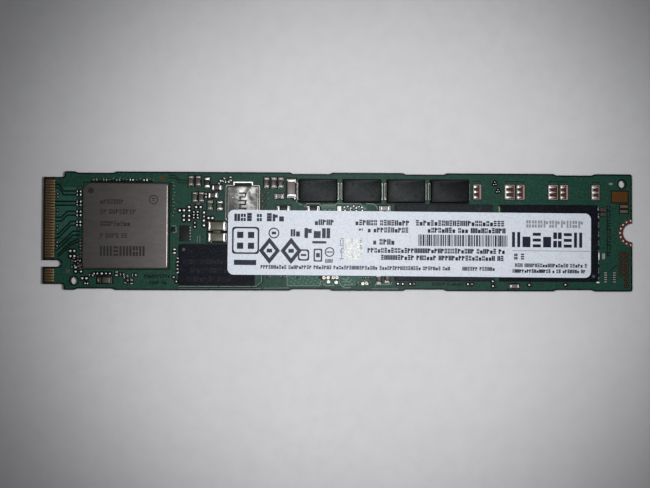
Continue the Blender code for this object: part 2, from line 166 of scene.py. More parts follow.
class Piece:
    """Closed bodies with one finish, gathered in one mesh that rides on the card."""

    made = []

    def __init__(self, name, finish, slot, flow=None):
        self.name, self.finish, self.slot, self.flow = name, finish, slot, flow
        self.mesh, self.stands_for, self.pits = bmesh.new(), [], []
        Piece.made.append(self)

    def loops(self, rings, at, turn, side):
        c, s = cos(radians(turn)), sin(radians(turn))
        return [[
            self.mesh.verts.new((
                (CARD.middle.x + at[0] + x * c - y * s) * MM,
                (CARD.middle.y + at[1] + x * s + y * c) * MM,
                (FACE[side] + side * height) * MM,
            )) for x, y in outline
        ] for outline, height in rings]

    def walls(self, loops):
        for lower, upper in zip(loops, loops[1:]):
            for index, start in enumerate(lower):
                after = (index + 1) % len(lower)
                self.mesh.faces.new((start, lower[after], upper[after], upper[index]))

    def solid(self, rings, at=(0, 0), turn=0.0, side=UP):
        """A body through rings of (outline, height), closed by its first and last ring."""
        loops = self.loops(rings, at, turn, side)
        self.walls(loops)
        self.mesh.faces.new(loops[0])
        self.mesh.faces.new(loops[-1])

    def tube(self, outer, inner, span, at, turn=0.0, side=UP):
        low, high = levels(span)
        rings = [(outer, low), (outer, high), (inner, high), (inner, low)]
        loops = self.loops(rings, at, turn, side)
        self.walls(loops + loops[:1])

    def plate(self, outline, span, at=(0, 0), turn=0.0, side=UP):
        self.solid([(outline, height) for height in levels(span)], at, turn, side)

    def slab(self, size, span, at, corner=0.0, turn=0.0, side=UP):
        self.plate(rounded(*size, corner), span, at, turn, side)

    def spot(self, radius, span, at, count=12, side=UP):
        self.plate(disc(radius, count), span, at, 0, side)

    def ring(self, outer, inner, span, at, count=16, side=UP):
        self.tube(disc(outer, count), disc(inner, count), span, at, 0, side)

    def frame(self, size, line, span, at, corner=0.0, side=UP):
        """A rectangular outline drawn with a line of that width."""
        inner = rounded(size[0] - 2 * line, size[1] - 2 * line, corner)
        self.tube(rounded(*size, corner), inner, span, at, 0, side)

    def tablet(self, size, span, corner, edge, at, turn=0.0, side=UP):
        """A block with rounded upright corners, and outer edges rounded by edge."""
        edge = min(edge, 0.38 * min(size))
        rings = [(rounded(*size, corner), span[0])]
        for angle in (0.0, radians(45), radians(90)):
            inset, rise = edge * (1 - cos(angle)), edge * sin(angle)
            tighter = max(corner - inset * 0.6, 0.01)
            outline = rounded(size[0] - 2 * inset, size[1] - 2 * inset, tighter)
            rings.append((outline, span[1] - edge + rise))
        self.solid(rings, at, turn, side)

    def dome(self, size, span, corner, at, turn=0.0, side=UP, flat=0.25):
        """A pillow of solder: its outline shrinks towards its top."""
        rings, (low, high) = [], levels(span)
        for step in range(4):
            angle = radians(90 * step / 3.6)
            share = flat + (1 - flat) * cos(angle)
            outline = rounded(size[0] * share, size[1] * share, corner * share)
            rings.append((outline, low + (high - low) * sin(angle)))
        self.solid(rings, at, turn, side)

    def ribbon(self, path, width, span, side=UP):
        """A flat strip along an open path, mitred at its bends."""
        left, right, points = [], [], [Vector(point) for point in path]
        for index, here in enumerate(points):
            before, after = points[max(index - 1, 0)], points[min(index + 1, len(path) - 1)]
            into = (here - before).normalized() if index else (after - here).normalized()
            out = (after - here).normalized() if index < len(path) - 1 else into
            across = Vector((-(into + out).y, (into + out).x)).normalized()
            reach = width / 2 / max(0.4, across.dot(Vector((-into.y, into.x))))
            left.append(tuple(here + across * reach))
            right.append(tuple(here - across * reach))
        self.plate(right + left[::-1], span, side=side)

    def ball(self, radius, height, at, side=UP):
        """A solder ball squeezed between two flat pads."""
        shares = [step / 4 for step in range(5)]
        self.solid([(disc(radius * sin(pi * (0.2 + 0.6 * share)), 8), height * share)
                    for share in shares], at, 0, side)

    def close(self):
        """Turn the gathered bodies into an object that rides on the card."""
        if self.flow:
            for vert in self.mesh.verts:
                vert.co.z += self.flow(vert.co.x / MM, vert.co.y / MM) * MM
        bmesh.ops.recalc_face_normals(self.mesh, faces=self.mesh.faces)
        data = baked(self.mesh, self.name)
        data.materials.append(self.finish)
        data.shade_smooth()
        data.set_sharp_from_angle(angle=SHARP)
        made = added(self.name, data)
        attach(made, "root")
        if self.stands_for:
            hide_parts(*self.stands_for)
        for pit in self.pits:
            carve_pit(made, *pit)


def carve_pit(obj, x, y, radius, top):
    """Sink a round ejector mark into a moulded top."""
    shape = bmesh.new()
    bmesh.ops.create_cone(
        shape, cap_ends=True, segments=20, radius1=radius * 0.85 * MM, radius2=radius * MM,
        depth=0.12 * MM, matrix=Matrix.Translation(Vector((x, y, top)) * MM),
    )
    cutter = added("pit", baked(shape, "pit"))
    cut = obj.modifiers.new("pit", "BOOLEAN")
    cut.object, cut.solver = cutter, "EXACT"
    bpy.context.view_layer.update()
    graph = bpy.context.evaluated_depsgraph_get()
    shaped = bpy.data.meshes.new_from_object(obj.evaluated_get(graph))
    obj.modifiers.clear()
    obj.data = shaped
    bpy.data.objects.remove(cutter)
    obj.data.set_sharp_from_angle(angle=SHARP)


# ---- finishes


def feed(tree, node, inputs):
    """Set inputs of a node, each to a number or to the output of another node."""
    for name, source in inputs.items():
        if isinstance(source, bpy.types.NodeSocket):
            tree.links.new(source, node.inputs[name])
        else:
            node.inputs[name].default_value = source


def output_of(tree, kind, output, inputs=None, **settings):
    """One output of a new shader node."""
    node = tree.nodes.new("ShaderNode" + kind)
    for name, setting in settings.items():
        setattr(node, name, setting)
    feed(tree, node, inputs or {})
    return node.outputs[output]


def mapped(tree, source, low, high, to_low=0.0, to_high=1.0):
    return output_of(tree, "MapRange", "Result", {
        "Value": source, "From Min": low, "From Max": high, "To Min": to_low, "To Max": to_high})


class Finish:
    """A node material whose colour, roughness and relief vary over the surface."""

    def __init__(self, name, colour, roughness, metallic=0.0, specular=0.5):
        self.material = bpy.data.materials.new(name)
        self.material.use_nodes = True
        self.material.diffuse_color = (*colour, 1.0)
        self.tree = self.material.node_tree
        self.place = self.node("TexCoord", "Object")
        self.colour = self.value(colour)
        self.varied = {
            "Roughness": roughness, "Metallic": metallic, "Specular IOR Level": specular}

    def node(self, kind, output, inputs=None, **settings):
        return output_of(self.tree, kind, output, inputs, **settings)

    def value(self, colour):
        made = self.node("RGB", 0)
        made.default_value = (*colour, 1.0)
        return made

    def noise(self, size, detail=3.0, stretch=EVEN):
        """Noise from 0 to 1 whose patches are about size millimetres across."""
        place = self.node("Mapping", 0, {"Vector": self.place, "Scale": stretch})
        return self.node("TexNoise", "Fac", {
            "Vector": place, "Scale": 1 / (size * MM), "Detail": detail, "Roughness": 0.6})

    def facing(self, low, high):
        """A number that goes from 0 to 1 as the face's upright share goes from low to high."""
        upright = self.node("SeparateXYZ", "Z", {0: self.node("NewGeometry", "Normal")})
        level = self.node("Math", 0, {0: upright}, operation="ABSOLUTE")
        return mapped(self.tree, level, low, high)

    def along_x(self, low, high):
        """A number that goes from 0 to 1 between two places along the card."""
        place = self.node("SeparateXYZ", "X", {0: self.place})
        return mapped(self.tree, place, low * MM, high * MM)

    def mix(self, factor, colour):
        """Lay another colour over the present one where factor is high."""
        inputs = {"Factor": factor, "A": self.colour, "B": self.value(colour)}
        self.colour = self.node("Mix", "Result", inputs, data_type="RGBA")
        return self

    def speckle(self, size, colour, low=0.5, high=0.75, detail=3.0):
        return self.mix(mapped(self.tree, self.noise(size, detail), low, high), colour)

    def rough(self, size, low, high, stretch=EVEN):
        noise = self.noise(size, 3.0, stretch)
        self.varied["Roughness"] = mapped(self.tree, noise, 0.3, 0.7, low, high)
        return self

    def relief(self, size, depth, detail=3.0, stretch=EVEN):
        """Raise the surface by noise, depth in millimetres."""
        inputs = {"Distance": depth * MM, "Strength": 1.0,
                  "Height": self.noise(size, detail, stretch)}
        if "Normal" in self.varied:
            inputs["Normal"] = self.varied["Normal"]
        self.varied["Normal"] = self.node("Bump", "Normal", inputs)
        return self

    def done(self):
        shader = self.tree.nodes["Principled BSDF"]
        feed(self.tree, shader, {"Base Color": self.colour, **self.varied})
        return self.material


def solder_mask(name, colour, light, dark):
    """Green lacquer over glass cloth: faint weave, slow change of tone, fine grain."""
    made = Finish(name, colour, 0.48, specular=0.14)
    made.speckle(6.0, light, 0.35, 0.8).speckle(0.4, dark, 0.40, 0.70)
    made.speckle(0.3, light, 0.50, 0.62).rough(0.5, 0.42, 0.55)
    return made.relief(0.9, 0.012).relief(0.12, 0.002)


def board_finish():
    """Solder mask on both faces, bare laminate between the contacts, layered glass at the edges."""
    made = solder_mask(
        "solder_mask", (0.0115, 0.0515, 0.035), (0.0185, 0.072, 0.051), (0.0075, 0.035, 0.024))
    tongue = LEFT + 2.2
    made.mix(made.along_x(tongue + 0.02, tongue - 0.02), (0.036, 0.023, 0.012))
    # Painted edge shade: sloped faces at the card's edges and holes near black.
    made.mix(made.facing(0.97, 0.85), (0.004, 0.012, 0.010))
    edge = made.facing(0.45, 0.2)
    made.mix(edge, (0.050, 0.052, 0.022))
    layers = made.node("TexWave", "Fac", {
        "Vector": made.place, "Scale": 1.0 / (0.1 * MM) / 20, "Distortion": 1.5,
    }, bands_direction="Z")
    both = made.node("Math", 0, {0: edge, 1: layers}, operation="MULTIPLY")
    return made.mix(both, (0.120, 0.100, 0.045)).done()


def metal(name, colour, dark, size, rough, relief=0.004, share=1.0):
    made = Finish(name, colour, sum(rough) / 2, share).speckle(size, dark, 0.45, 0.8)
    return made.rough(size * 0.7, *rough).relief(size * 0.8, relief).done()


def moulded(name, colour, light, grain, rough=(0.5, 0.6), specular=0.13, side_shade=None):
    """Black moulding compound with its pale filler grains, and painted shade on its upright sides
    when a side shade is given.
    """
    made = Finish(name, colour, 0.55, specular=specular)
    made.speckle(grain, light, 0.5, 0.85, 2.0).speckle(1.6, light, 0.55, 1.2)
    # Painted shade: upright faces darkened.
    if side_shade:
        made.mix(made.facing(0.985, 0.93), side_shade)
    return made.rough(grain * 1.5, *rough).relief(grain, 0.006).relief(grain * 3, 0.006).done()


def fired_ceramic(name, colour, light):
    made = Finish(name, colour, 0.42, specular=0.25)
    island = made.node("NewGeometry", "Random Per Island")
    made.mix(mapped(made.tree, island, 0.0, 1.0, 0.0, 0.6), light)
    return made.speckle(0.12, light, 0.5, 0.85).rough(0.2, 0.34, 0.5).relief(0.15, 0.004).done()


def lid_finish():
    """Nickel plate with a satin grain, faint cloudiness and fine scratches along the card."""
    made = Finish("nickel_lid", (0.188, 0.170, 0.166), 0.4, 1.0, 0.1)
    made.speckle(5.0, (0.170, 0.155, 0.151), 0.35, 0.75)
    made.speckle(0.12, (0.150, 0.140, 0.137), 0.5, 0.8, 1.0)
    # Painted shade on the lid's sides: upright walls near black, and not metallic.
    made.mix(made.facing(0.9, 0.6), (0.012, 0.011, 0.011))
    made.varied["Metallic"] = made.facing(0.6, 0.9)
    made.rough(0.5, 0.385, 0.425, (0.3, 1, 1))
    return made.relief(0.06, 0.0012).relief(0.25, 0.0006, 4.0, (0.1, 1, 1)).done()


def label_finish():
    """White coated film: faint fibre, satin coat, slow waves."""
    made = Finish("label_film", (0.66, 0.705, 0.775), 0.5, specular=0.27)
    made.speckle(0.45, (0.575, 0.62, 0.69), 0.44, 0.66)
    made.speckle(0.3, (0.735, 0.78, 0.85), 0.50, 0.66)
    return made.rough(0.8, 0.46, 0.54).relief(0.3, 0.004).relief(2.5, 0.02).done()


def inductor_finish():
    """Silvery coat, stained in broad dark patches, with painted shade: darker towards the connector
    and near black on its upright sides.
    """
    made = Finish("inductor_coat", (0.47, 0.47, 0.46), 0.6, 1.0)
    core = Box("inductor_core").middle.x
    # Painted shade: darker towards the connector, away from the lamp's sheen.
    made.mix(made.along_x(core + 0.8, core - 1.6), (0.085, 0.085, 0.083))
    made.speckle(2.2, (0.075, 0.075, 0.073), 0.50, 0.68)
    made.speckle(0.4, (0.36, 0.36, 0.35), 0.62, 0.85).speckle(0.5, (0.08, 0.08, 0.078))
    # Painted shade: upright sides near black.
    made.mix(made.facing(0.95, 0.8), (0.006, 0.006, 0.006))
    return made.rough(1.0, 0.46, 0.62).relief(0.5, 0.012).relief(0.12, 0.004).done()


def foil_finish():
    """Pale security foil, mottled in small bright and grey flecks."""
    made = Finish("hologram_foil", (0.64, 0.67, 0.67), 0.45, specular=0.35)
    made.speckle(0.6, (0.30, 0.32, 0.33), 0.50, 0.66)
    made.speckle(0.3, (0.90, 0.91, 0.88), 0.50, 0.60)
    made.speckle(0.22, (0.22, 0.23, 0.25), 0.58, 0.68)
    return made.rough(0.4, 0.36, 0.55).relief(0.3, 0.004).done()


def ink_finish(name, colour, rough=0.5):
    made = Finish(name, colour, rough, specular=0.12)
    made.speckle(0.12, tuple(min(1, part * 1.8 + 0.01) for part in colour), 0.5, 0.85)
    return made.rough(0.3, rough - 0.08, rough + 0.08).relief(0.2, 0.001).done()


BOARD = board_finish()
COVERED = solder_mask(
    "mask_over_copper", (0.024, 0.090, 0.066), (0.032, 0.108, 0.082), (0.018, 0.072, 0.052)).done()
# Near black: painted shade in the moats round parts, along the card's edges and on the floors of
# the ejector pits; also the colour of dark print on the card.
SHADE_AND_PRINT_BLACK = solder_mask(
    "near_black_shade_and_print", (0.0006, 0.0026, 0.0022), (0.001, 0.004, 0.003),
    (0.0005, 0.002, 0.0015)).done()
MASK_GAP = solder_mask(
    "mask_between_copper", (0.0018, 0.0095, 0.0075), (0.003, 0.013, 0.010),
    (0.001, 0.006, 0.005)).done()
SUBSTRATE = solder_mask(
    "package_substrate", (0.020, 0.045, 0.026), (0.04, 0.07, 0.03), (0.01, 0.02, 0.012)).done()
# Dark grey in place of tin on terminals and solder slopes that lie in shade: painted shade.
SHADED_TERMINAL_INK = ink_finish("terminal_painted_shade", (0.085, 0.096, 0.088))
GOLD = metal("contact_gold", (0.36, 0.24, 0.125), (0.25, 0.16, 0.085), 0.25, (0.34, 0.48))
PAD_COPPER = metal("pad_copper", (0.30, 0.135, 0.10), (0.20, 0.07, 0.05), 0.2, (0.36, 0.5))
PAD_TIN = metal("pad_tin", (0.55, 0.55, 0.54), (0.38, 0.37, 0.36), 0.2, (0.35, 0.5))
SOLDER = metal("solder", (0.92, 0.92, 0.92), (0.70, 0.70, 0.71), 0.15, (0.40, 0.52), 0.006)
DOT_SOLDER = metal(
    "matte_solder", (0.92, 0.92, 0.92), (0.80, 0.80, 0.81), 0.15, (0.40, 0.52), share=0.6)
TIN = metal("tin_plate", (0.46, 0.45, 0.43), (0.30, 0.29, 0.27), 0.2, (0.4, 0.52), 0.008)
# Near-white tin for the end caps that catch the lamp: a painted glint; TIN above is the dull copy
# of the same plating.
GLINT_TIN = metal(
    "tin_plate_painted_glint", (0.90, 0.89, 0.87), (0.74, 0.73, 0.71), 0.2, (0.36, 0.46), 0.006)
DULL_TIN = metal("dull_tin", (0.34, 0.33, 0.30), (0.20, 0.19, 0.17), 0.25, (0.42, 0.56), 0.01)
SILICON = metal("silicon", (0.30, 0.31, 0.36), (0.20, 0.21, 0.26), 0.8, (0.12, 0.2), 0.001)
DARK_METAL = metal("shaded_terminal", (0.05, 0.05, 0.05), (0.02, 0.02, 0.02), 0.3, (0.4, 0.5))
WINDING = metal("winding_copper", (0.62, 0.28, 0.14), (0.45, 0.18, 0.08), 0.3, (0.25, 0.4))
PACKAGE = moulded("package_mould", (0.006, 0.0085, 0.0125), (0.055, 0.066, 0.080), 0.2)
# A darker copy of the package moulding for the DRAM and the far flash packages, where less of the
# lamp's sheen falls: painted shade.
SHADED_PACKAGE = moulded(
    "package_mould_painted_shade", (0.0022, 0.0028, 0.0060), (0.034, 0.040, 0.056), 0.2, specular=0.08)
# Hold-up moulding with near-black sides in painted shade, and a darker copy in painted shade where
# less of the lamp's sheen falls.
HOLDUP, SHADED_HOLDUP = (
    moulded(name, colour, light, 0.16, (0.46, 0.56), 0.12, (0.001, 0.001, 0.001))
    for name, colour, light in (
        ("capacitor_mould", (0.0130, 0.0160, 0.0170), (0.050, 0.058, 0.058)),
        ("capacitor_mould_painted_shade", (0.0045, 0.0060, 0.0075), (0.024, 0.028, 0.032)),
    )
)
CHIP_BLACK = moulded("chip_mould", (0.007, 0.0075, 0.009), (0.030, 0.032, 0.036), 0.12)
LASER_MARK = ink_finish("lid_laser_mark", (0.026, 0.022, 0.022), 0.6)
PACKAGE_MARK = ink_finish("package_laser_mark", (0.075, 0.078, 0.088), 0.7)
FAINT_MARK = ink_finish("package_faint_mark", (0.015, 0.017, 0.021), 0.7)
INDUCTOR = inductor_finish()


# ---- label surface


DRAM_EDGE = Box("inductor_core").high.x
FLASH_1, FLASH_2 = Box("flash_upper_1_mould_cap"), Box("flash_upper_2_mould_cap")
GROOVE = (FLASH_1.high.x + FLASH_2.low.x) / 2


def smooth(low, high, number):
    share = min(max((number - low) / (high - low), 0.0), 1.0)
    return share * share * (3 - 2 * share)


def label_flow(x, y):
    """How far the film dips below its resting level where nothing holds it up, in millimetres."""
    flash = FLASH_1.low.x
    span = smooth(DRAM_EDGE, DRAM_EDGE + 5, x) * (1 - smooth(flash - 6, flash, x))
    ripple = 0.4 * sin(x * 0.9 + 1.3 * sin(y * 0.35)) + 0.3 * sin(y * 1.1 + x * 0.3)
    return -0.055 * span * (1 + 0.35 * ripple) - 0.018 * exp(-((x - GROOVE) / 0.6) ** 2)


INK_SPAN = (LABEL.top - 0.004, LABEL.top + 0.008)


# ---- pieces shared by several areas

(TRACES, GAPS, FINGERS, PADS, SHADE_MOATS, SHADED_TERMINALS, DULL_PADS, OPEN_PADS, PAD_RIMS, SLIVERS,
 DARK_PRINT_AND_PIT_SHADE, FAINT, CHIPS, POURS, BARE, JOINTS, DOTS, END_CAPS, GLINT_CAPS, VIA_RINGS, BARE_TIN,
 OPEN_RINGS, VIA_HOLES, PRINT, BALLS) = (Piece(*row) for row in (
    ("covered_traces", COVERED, "solder_mask"),
    ("trace_gaps", MASK_GAP, "solder_mask"),
    ("contact_fingers", GOLD, "contact_gold"),
    ("component_pads", PAD_TIN, "pad_copper"),
    # Dark moats round pads, parts and packages: painted shade along their edges, laid where the
    # mask is cleared.
    ("shade_moats_round_parts", SHADE_AND_PRINT_BLACK, "solder_mask"),
    # Terminals and solder slopes in painted shade.
    ("terminals_painted_shade", SHADED_TERMINAL_INK, "tin_plate"),
    ("dull_copper_pads", ink_finish("dull_tinned_copper", (0.150, 0.088, 0.066)), "pad_copper"),
    ("open_pads", ink_finish("flux_stained_pad", (0.060, 0.024, 0.020), 0.4), "pad_copper"),
    ("open_pad_rims", ink_finish("thin_tin_over_copper", (0.3, 0.215, 0.19), 0.4), "pad_copper"),
    ("terminal_joints", DULL_TIN, "tin_plate"),
    # Dark print on the card, and painted shade on the floors of the hold-up capacitors' ejector
    # pits.
    ("dark_print_and_pit_shade", SHADE_AND_PRINT_BLACK, "solder_mask"),
    ("package_faint_marks", FAINT_MARK, "package_mould"),
    ("small_chips", CHIP_BLACK, "package_mould"),
    ("copper_pours", COVERED, "solder_mask"),
    ("bare_copper_areas", ink_finish("bare_copper", (0.090, 0.036, 0.008)), "pad_copper"),
    ("solder_joints", SOLDER, "tin_plate"),
    ("solder_dots", DOT_SOLDER, "tin_plate"),
    ("end_caps", TIN, "tin_plate"),
    # End caps with the painted glint.
    ("end_caps_painted_glint", GLINT_TIN, "tin_plate"),
    ("via_rings", COVERED, "solder_mask"),
    ("tinned_pads", DULL_TIN, "tin_plate"),
    ("open_via_rings", ink_finish("oxidised_copper", (0.120, 0.038, 0.020)), "pad_copper"),
    # A near-black disc in place of the hole: painted shade inside it.
    ("via_holes", ink_finish("via_hole", (0.004, 0.008, 0.007)), "solder_mask"),
    ("silkscreen_marks", ink_finish("silkscreen", (0.185, 0.235, 0.205), 0.6), "label_film"),
    ("solder_balls", SOLDER, "tin_plate"),
))
BODIES = {
    kind: Piece("ceramic_bodies_" + kind, fired_ceramic("ceramic_" + kind, *shades), "ceramic")
    for kind, *shades in (
        ("brown", (0.056, 0.040, 0.035), (0.080, 0.064, 0.058)),
        ("olive", (0.095, 0.088, 0.066), (0.122, 0.113, 0.088)),
        ("moss", (0.054, 0.060, 0.040), (0.076, 0.080, 0.058)),
        ("pinkish", (0.155, 0.127, 0.120), (0.190, 0.160, 0.152)),
        ("grey", (0.230, 0.225, 0.215), (0.320, 0.310, 0.300)),
    )
}
BODIES["black"] = Piece(
    "resistor_bodies",
    fired_ceramic("resistor_black", (0.008, 0.009, 0.012), (0.022, 0.022, 0.026)), "ceramic")
RNG = random.Random(22110)


def ceramic_part(kind, at, length, width, height, turn=0.0, side=UP, cap=None, bright=None):
    """A chip capacitor or resistor on its two pads, with a short slope of solder at each end."""
    # bright gives near-white end caps and bright solder slopes, a painted glint; otherwise dull tin
    # caps and dark solder slopes in painted shade.
    bright = kind in ("olive", "black") if bright is None else bright
    margin = 0.3 + 0.28 * width
    # A dark moat round the part: painted shade along its edges.
    SHADE_MOATS.slab((length + 1.3 * margin, width + margin), CLEAR, at, 0.1, turn, side)
    cap = cap or length * 0.21
    base, edge, run = 0.03, min(width, height) * 0.12, 0.06 + 0.05 * width
    BODIES[kind].tablet((length - cap * 1.2, width * 0.95), (base, height * 0.965),
                        edge * 0.5, edge * 0.8, at, turn, side)
    for end in (1, -1):
        place = toward(at, turn, end * (length / 2 - cap / 2))
        (GLINT_CAPS if bright else END_CAPS).tablet(
            (cap, width * 0.92), (base, height), edge, edge * 1.3, place, turn, side)
        place = toward(at, turn, end * (length / 2 - cap / 2 + run / 2))
        PADS.slab((cap + run + 0.05, width + 0.07), COPPER, place, 0.05, turn, side)
        slope = []
        for rise, reach in ((0.05, 1.0), (0.2, 0.55), (0.42, 0.25), (0.62, 0.05)):
            out = run * reach
            outline = rounded(cap * 0.9 + out, width * (1.03 - 0.08 * rise), 0.04)
            shift = end * (length / 2 - cap * 0.45 + out / 2)
            slope.append((moved(outline, shift), rise * height))
        (JOINTS if bright else SHADED_TERMINALS).solid(slope, at, turn, side)


def resistor(at, length, width, height, turn=0.0, cap=None, bright=None, side=UP):
    ceramic_part("black", at, length, width, height, turn, side, cap, bright)


def crumb(size, height, at, turn=0.0, edge=0.04, piece=BODIES["black"]):
    """A tiny part that stands straight on the card."""
    piece.tablet(size, (0.02, height), 0.05, edge, at, turn)


def via(x, y, outer=0.26, side=UP, rings=VIA_RINGS):
    """A plated hole: covered by the mask, or with a bare ring."""
    rings.ring(outer, outer * 0.5, RING, (x, y), 12, side)
    # The hole drawn as a near-black disc: painted shade.
    VIA_HOLES.spot(outer * 0.5, PRINTED, (x, y), side=side)


def solder_dot(x, y, size=0.42, height=0.07, side=UP):
    """A small pad with a low cushion of solder on it, in a dark moat of painted shade."""
    pad = (size * 0.9, size * 0.8)
    SHADE_MOATS.spot(size * 0.5 + 0.3, CLEAR, (x, y), 14, side)
    PADS.slab(pad, COPPER, (x, y), size * 0.4, 0, side)
    DOTS.dome(pad, (0.015, height), size * 0.42, (x, y), 0, side, 0.3)


def mark_row(piece, x_span, y_span, span, weight=0.24, side=UP, spread=0.62):
    """A row of plain bars, squares and dashes in groups, where the real thing carries print."""
    x, (low, high) = x_span[0], y_span
    tall, middle = high - low, (low + high) / 2
    line, cell = weight * tall, spread * tall
    while x + cell <= x_span[1] + 0.01:
        if RNG.random() < 0.09:
            x += cell * 0.7
            continue
        here = x + cell / 2
        for size, place in (
            lambda: [((cell * 0.86, tall * 0.7), (here, low + tall * 0.35))],
            lambda: [((line, tall), (here + cell * dx, middle)) for dx in (-0.28, 0.28)],
            lambda: [((cell * 0.86, line), (here, low + line / 2 + tall * step))
                     for step in (0, 0.38, 0.76)],
            lambda: [((cell * 0.4, tall * 0.44), (here + cell * dx, middle + tall * dy))
                     for dx, dy in ((0.25, 0.28), (-0.25, 0.28), (0.25, -0.28), (-0.25, -0.28))],
            lambda: [((line, tall), (here - cell * 0.26, middle)),
                     ((cell * 0.45, tall * 0.4), (here + cell * 0.2, low + tall * 0.7))],
        )[RNG.randrange(5)]():
            piece.slab(size, span, place, side=side)
        x += cell * 1.11


# ---- connector end


def contact_fingers():
    """Each gold finger on its own, with the thin tail that once fed its plating."""
    wide, pitch = 0.35, 0.5
    for node, side in (
        ("contacts_upper_long", UP), ("contacts_upper_short", UP),
        ("contacts_lower_long", DOWN), ("contacts_lower_short", DOWN),
    ):
        box = Box(node)
        length, outline = box.size.x, rounded(box.size.x, wide, 0.05)
        rings = [(outline, 0.0), (outline, 0.028), (rounded(length - 0.03, 0.32, 0.04), 0.036)]
        for index in range(round((box.size.y - wide) / pitch) + 1):
            y = box.low.y + wide / 2 + index * pitch
            FINGERS.solid(rings, (box.middle.x, y), 0, side)
            FINGERS.slab((0.2, 0.08), PRINTED, (box.low.x - 0.09, y), side=side)
        FINGERS.stands_for.append(node)


def signal_pair(path, spread, side=UP):
    """Two traces side by side, each a dark line where the copper pour is cleared."""
    for shift in (spread, -spread):
        GAPS.ribbon([(x, y + shift) for x, y in path], 0.3, CLEAR, side)


def signal_pairs():
    """Pairs of traces from the contacts to the controller."""
    end = Box("controller_lid").low.x - 0.8
    for from_y, to_y, knee, reach in (
        (8.2, 6.97, 3.0, 0.85), (5.04, 5.04, 1.0, 1.0), (2.08, 3.2, 3.45, 1.1),
        (-1.0, 1.32, 3.0, 2.2), (-3.35, -0.5, 2.7, 2.9),
    ):
        bend = LEFT + knee
        path = [(LEFT + 2.3, from_y), (bend, from_y), (bend + reach, to_y), (end, to_y)]
        signal_pair(path, 0.35)
    signal_pair([(LEFT + 2.9, -4.6), (LEFT + 5.2, -2.5), (LEFT + 6.6, -1.8)], 0.25)
    TRACES.slab((4.0, 9.4), TRACE, (LEFT + 4.2, 3.4), 0.3)
    TRACES.slab((1.0, 2.6), TRACE, (LEFT + 3.1, -3.0), 0.3)
    for y in (6.85, 6.2, 3.8, 3.15, 0.8, 0.15, -2.2, -2.85):
        # Dark moats round the dots: painted shade.
        SHADE_MOATS.spot(0.34, CLEAR, (LEFT + 2.72, y))
        SLIVERS.dome((0.34, 0.34), 0.04, 0.16, (LEFT + 2.72, y))
    for x, y in ((-50.3, 9.6), (-49.5, 10.1), (-48.6, 9.5), (-47.9, 8.6), (-48.8, 8.4)):
        via(x, y, 0.14)


def left_of_controller():
    lid = Box("controller_lid").low.x
    for y in (7.25, 6.65, 5.35, 4.72, 3.5, 2.85, 1.64, 0.98):
        resistor((lid - 1.08, y), 0.72, 0.32, 0.25)
    for dx, y, size in (
        (-2.6, -3.8, 0.44), (-1.88, -3.8, 0.44), (-2.6, -4.75, 0.44), (-1.88, -4.75, 0.44),
        (-1.6, -6.85, 0.4), (-1.6, -7.6, 0.42), (-0.6, -7.6, 0.38),
        (-0.35, -8.85, 0.44), (0.4, -8.85, 0.44), (-1.65, -5.7, 0.3), (-0.8, -5.6, 0.3),
    ):
        solder_dot(lid + dx, y, size)
    for dx, y, turn in (
        (-2.05, -5.35, 60), (-1.2, -5.2, 90), (-1.15, -6.35, 90), (-0.7, -4.4, 90),
        (-2.0, -6.6, 20), (-0.75, -3.1, 90), (-0.75, -2.0, 90), (-0.7, -6.75, 90),
    ):
        resistor((lid + dx, y), 0.6, 0.34, 0.26, turn, 0.1, False)
    size = (0.22, 0.26)
    for end in (1, -1):
        place = (lid + 0.4 + end * 0.45 / 2, -9.8)
        # Dark moat round each pad: painted shade.
        SHADE_MOATS.slab((size[0] + 0.5, size[1] + 0.5), CLEAR, place, 0.15)
        PADS.slab((size[0] * 1.1, size[1] * 1.1), COPPER, place, 0.06)
        DOTS.dome(size, (0.015, 0.06), 0.1, place)
    BODIES["moss"].slab((0.7, 0.65), 0.02, (-50.2, -7.55), 0.05)


def below_controller():
    for x in (-45.4, -44.8, -44.0, -43.2, -42.5):
        solder_dot(x, -7.95, 0.34 if x != -44.0 else 0.46)
    for x, y, turn in (
        (-45.9, -8.25, 0), (-41.3, -7.95, 90), (-39.4, -9.4, 45), (-38.5, -9.45, 90),
        (-37.95, -8.22, 0), (-39.5, -8.5, 20), (-40.2, -8.1, 0),
    ):
        resistor((x, y), 0.7, 0.38, 0.28, turn, 0.12, turn == 90)
    for x, y in ((-37.2, -9.5), (-36.6, -8.4), (-40.3, -9.9), (-45.9, -9.2), (-33.6, -8.0),
                 (-42.0, -10.2)):
        via(x, y, 0.16)
    box = Box("input_diode")
    middle, top = box.middle, box.top
    case = Piece("input_diode_body", BODIES["brown"].finish, "package_mould")
    case.tablet((1.5, 1.05), (0.05, top), 0.08, 0.1, middle.xy)
    case.stands_for.append("input_diode")
    CHIPS.tablet((0.42, 1.08), (0.05, top + 0.004), 0.05, 0.05, (middle.x - 0.28, middle.y))
    for end, size in ((1, (0.5, 1.15)), (-1, (0.45, 0.8))):
        place = (middle.x + end * box.size.x * 0.37, middle.y)
        SLIVERS.dome(size, top * 0.8, 0.15, place, 0, UP, 0.5)
        SHADED_TERMINALS.slab((size[0] + 0.2, size[1] + 0.1), COPPER, place, 0.08)
    # Dark moat round the diode: painted shade.
    SHADE_MOATS.slab((box.size.x + 0.5, 1.5), CLEAR, middle.xy, 0.1)
    mark_row(DARK_PRINT_AND_PIT_SHADE, (-36.2, -31.4), (-8.75, -8.05), MARK, 0.2)
    mark_row(DARK_PRINT_AND_PIT_SHADE, (-35.2, -31.4), (-9.95, -9.25), MARK, 0.2)


